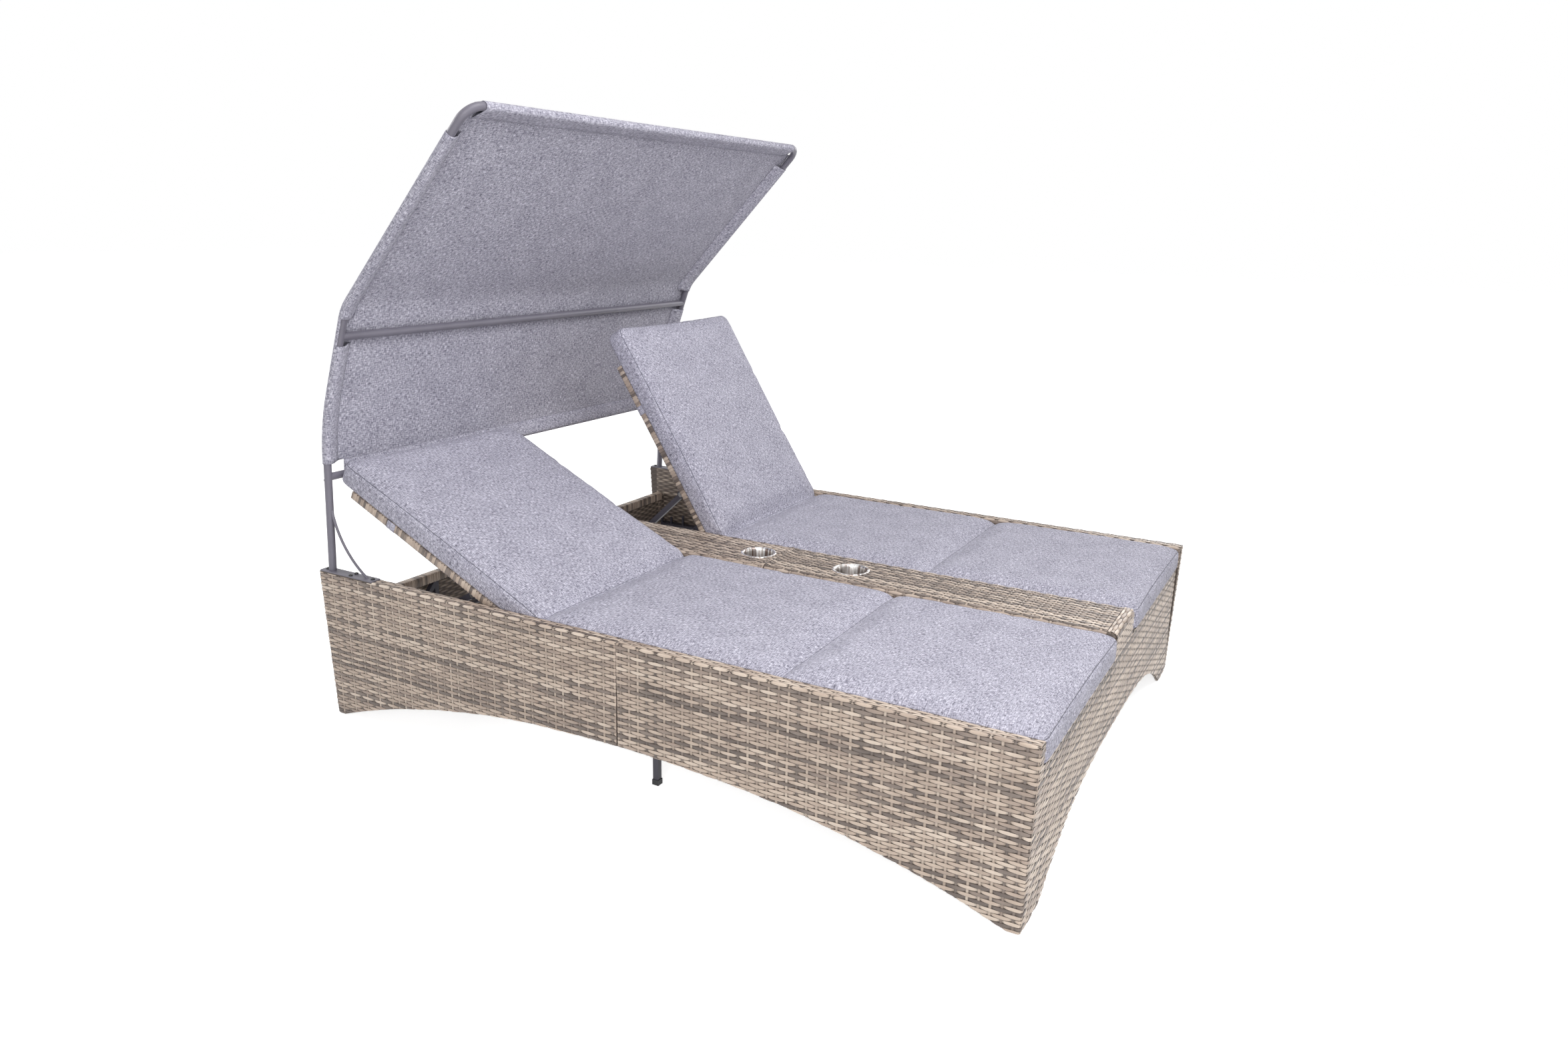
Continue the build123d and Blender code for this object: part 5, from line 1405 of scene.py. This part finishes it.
# %% [markdown]
# The corners are cut out round the tube's elbow, the side sleeves stop short of them, and at
# the middle bar each side sleeve is slit so that the bar's stub can pass. Behind the bars the
# turned-in cloth stops before it reaches the tubes.

# %% Cut the corners and the slits
CORNER_CUT = 46 * MM
SLEEVE_STOP = 84 * MM
FRONT_PLY_END, HEM_PLY_END = 709 * MM, 696 * MM
NOTCH_HEIGHT = 39 * MM
SLIT_BELOW, SLIT_ABOVE, SLIT_COLUMNS = 22 * MM, 62 * MM, 9
CLOTH_THICKNESS = 0.9 * MM
NO_SEAM = 50 * MM

bpy.ops.mesh.primitive_grid_add(x_subdivisions=len(columns) - 1, y_subdivisions=len(rows) - 1, size=1)
canopy = bpy.context.object
canopy.name = canopy.data.name = "canopy_cover"
unit = read_points(canopy)
col = np.rint((unit[:, 0] + 0.5) * (len(columns) - 1)).astype(int)
row = np.rint((unit[:, 1] + 0.5) * (len(rows) - 1)).astype(int)
points, at_s, from_middle = grid[row, col], row_s[row], np.abs(grid[row, col, 0])
write_points(canopy, points)
unrolled_x, unrolled_y = running_length(columns), running_length(grid[:, len(columns) // 2, 1:])
set_uv(canopy, "cloth", np.column_stack((unrolled_x[col], unrolled_y[row]))[corner_points(canopy)])

on_line, on_low, in_middle = is_line[row], is_low[row], is_middle[col]
stitch = np.minimum.reduce([np.abs(SIDE_X - STITCH_IN - from_middle), np.abs(at_s - TURN_IN["low"]),
                            np.abs(tube_end - TURN_IN["front"] - at_s)])
seam = np.where(on_line & in_middle, stitch, NO_SEAM) + STITCH_OFFSET
set_attribute(canopy, "seam", seam[corner_points(canopy)], "CORNER")

gone = (np.hypot(SIDE_X - from_middle, tube_end - at_s) < CORNER_CUT) & ~on_low
gone |= ~on_line & ~in_middle
gone |= ~on_line & ~on_low & (from_middle > FRONT_PLY_END)
gone |= (~on_line & on_low | on_line & (at_s < NOTCH_HEIGHT)) & (from_middle > HEM_PLY_END)
gone |= ~in_middle & on_line & (at_s > tube_end - SLEEVE_STOP)
near_stitch = np.minimum(col, len(columns) - 1 - col) < SLIT_COLUMNS
gone |= near_stitch & (at_s > bar_s - SLIT_BELOW) & (at_s < bar_s + SLIT_ABOVE) & on_line
delete_faces(canopy, gone)
thick = canopy.modifiers.new("thickness", "SOLIDIFY")
thick.thickness, thick.offset = CLOTH_THICKNESS, 0
apply_modifiers(canopy)
dress(canopy, canopy_fabric, "base_and_canopy")
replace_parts(canopy, "canopy_cloth")
print("canopy cloth:", triangles(canopy), "triangles")

# %% [markdown]
# ## Straps
# Each back part is held by two short straps of its own fabric, which hook round the side
# tubes. Each is a flat loop, so it is a band swept round the tube's square section.

# %% Mattress straps
STRAP_AT, STRAP_WIDTH, STRAP_THICKNESS = 478 * MM, 28 * MM, 1.2 * MM
STRAP_OUT, STRAP_CORNER, STRAP_PUFF = 11.4 * MM, 2 * MM, 0.2 * MM


def strap_loop(middle, out):
    """One strap round the tube at middle. out is 1 on the outer tube and -1 on the inner one."""
    low = -STRAP_OUT + STRAP_CORNER
    outline = np.array([(STRAP_OUT, 12 * MM), (STRAP_OUT, low), (-low, -STRAP_OUT), (low, -STRAP_OUT),
                        (-STRAP_OUT, low), (-STRAP_OUT, 2 * MM)]) * [out, 1]
    bpy.ops.mesh.primitive_grid_add(x_subdivisions=len(outline) - 1, y_subdivisions=6, size=1)
    loop = bpy.context.object
    unit = read_points(loop)
    order = np.rint((unit[:, 0] + 0.5) * (len(outline) - 1)).astype(int)
    puff = out * STRAP_PUFF * np.cos(unit[:, 1] * math.pi * 6)
    y = HINGE[0] + STRAP_AT + unit[:, 1] * STRAP_WIDTH
    x, z = middle + outline[order, 0] + puff, HINGE[1] + outline[order, 1]
    write_points(loop, np.column_stack((x, y, z)))
    set_uv(loop, "cloth", np.column_stack((order * 0.02, unit[:, 1] * STRAP_WIDTH))[corner_points(loop)])
    set_attribute(loop, "seam", np.full(len(loop.data.loops), NO_SEAM), "CORNER")
    return loop


def strap_pair(bed, angle):
    straps = join([strap_loop(BACK_INNER + BACK_TUBE / 2, -1), strap_loop(BACK_OUTER - BACK_TUBE / 2, 1)],
                  f"{bed}_fabric_straps")
    write_points(straps, turned(read_points(straps), angle) * [side_of(bed), 1, 1])
    thick = straps.modifiers.new("thickness", "SOLIDIFY")
    thick.thickness, thick.offset = STRAP_THICKNESS, 0
    apply_modifiers(straps)
    start_edit(straps)
    bpy.ops.mesh.normals_make_consistent(inside=False)
    end_edit()
    dress(straps, cushion_fabric, f"{bed}_backrest")
    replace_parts(straps, f"{bed}_cushion_straps")


for bed, angle in BACK_ANGLES.items():
    strap_pair(bed, angle)

# %% [markdown]
# ## Cups
# Each cup is pressed from one round of sheet, so it is spun from one outline: the floor, a
# rounded bottom corner, the wall, and a wide rim whose edge rolls down onto the weave. The wall
# leans out by 4 degrees, the draft that lets a pressed cup leave its die, and that lean also
# turns its reflections up towards the light.

# %% Spun cups
CUP_OUTLINE = [(0, 331), (28, 331), (34, 331.6), (37, 334), (38, 338), (38.5, 345), (42, 394), (42.7, 403),
               (43.8, 408.4), (45.6, 410.4), (48.2, 411), (50.4, 410.7), (51.9, 409.8), (52.5, 408.2)]
CUP_WALL = 0.7 * MM


def spun_cup(name, place):
    mesh = bpy.data.meshes.new(name)
    cup = bpy.data.objects.new(name, mesh)
    bpy.context.collection.objects.link(cup)
    steps = [(i, i + 1) for i in range(len(CUP_OUTLINE) - 1)]
    mesh.from_pydata([(r * MM, 0, z * MM) for r, z in CUP_OUTLINE], steps, [])
    start_edit(cup)
    bpy.ops.mesh.spin(steps=64, angle=2 * math.pi, center=(0, 0, 0), axis=(0, 0, 1))
    bpy.ops.mesh.select_all(action="SELECT")
    bpy.ops.mesh.remove_doubles(threshold=WELD)
    bpy.ops.mesh.select_all(action="SELECT")
    bpy.ops.mesh.normals_make_consistent(inside=False)
    end_edit()
    if np.mean([face.normal.z for face in mesh.polygons if face.center.z < 332 * MM]) < 0:
        mesh.flip_normals()
    write_points(cup, read_points(cup) + [0, place, 0])
    wall = cup.modifiers.new("wall", "SOLIDIFY")
    wall.thickness, wall.offset = CUP_WALL, -1
    apply_modifiers(cup)
    dress(cup, stainless, "base_and_canopy")
    return cup


for half, place in CUP_PLACES.items():
    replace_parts(spun_cup(f"{half}_spun_cup", place), f"{half}_cup")

# %% [markdown]
# ## Finishes on the CAD parts
# The steel, the hinges and the covers keep their CAD shape and only get their finish. A
# finish is put in every material slot of the node's object.

# %% Give each CAD node its finish
FINISHES = [
    (slate_coat, ["canopy_side_tube", "canopy_posts", "front_bar", "lower_crossbar", "middle_crossbar",
                  "crossbar_stubs", "base_plates", "brace_rods"]),
    (dark_coat, ["prop_legs", "prop_foot_rod", "prop_ears", "racks", "hinge_plates", "deck_frame",
                 "backrest_frame", "middle_legs", "panel_frames", "console_frame"]),
    (woven_cover, ["side_panel", "end_panel", "console_head_cover", "console_foot_cover", "seat_deck",
                   "backrest_weave"]),
    (black_bolt, ["plate_bolts", "post_screws", "module_bolts"]),
    (black_plastic, ["corner_glides", "leg_caps", "seam_clips"]),
    (pin_steel, ["hinge_pins", "prop_pins"]),
    (cushion_fabric, ["cushion", "canopy_cloth", "cushion_straps"]),
    (stainless, ["head_cup", "foot_cup"]),
]


def finish_of(name):
    """The finish whose list has the longest piece of the node's name."""
    fits = [(len(part), material) for material, parts in FINISHES for part in parts if part in name]
    return max(fits, key=lambda fit: fit[0])[1]


for name, obj in frame["nodes"].items():
    for slot in obj.material_slots:
        slot.material = finish_of(name)
print("finished", len(frame["nodes"]), "CAD nodes")
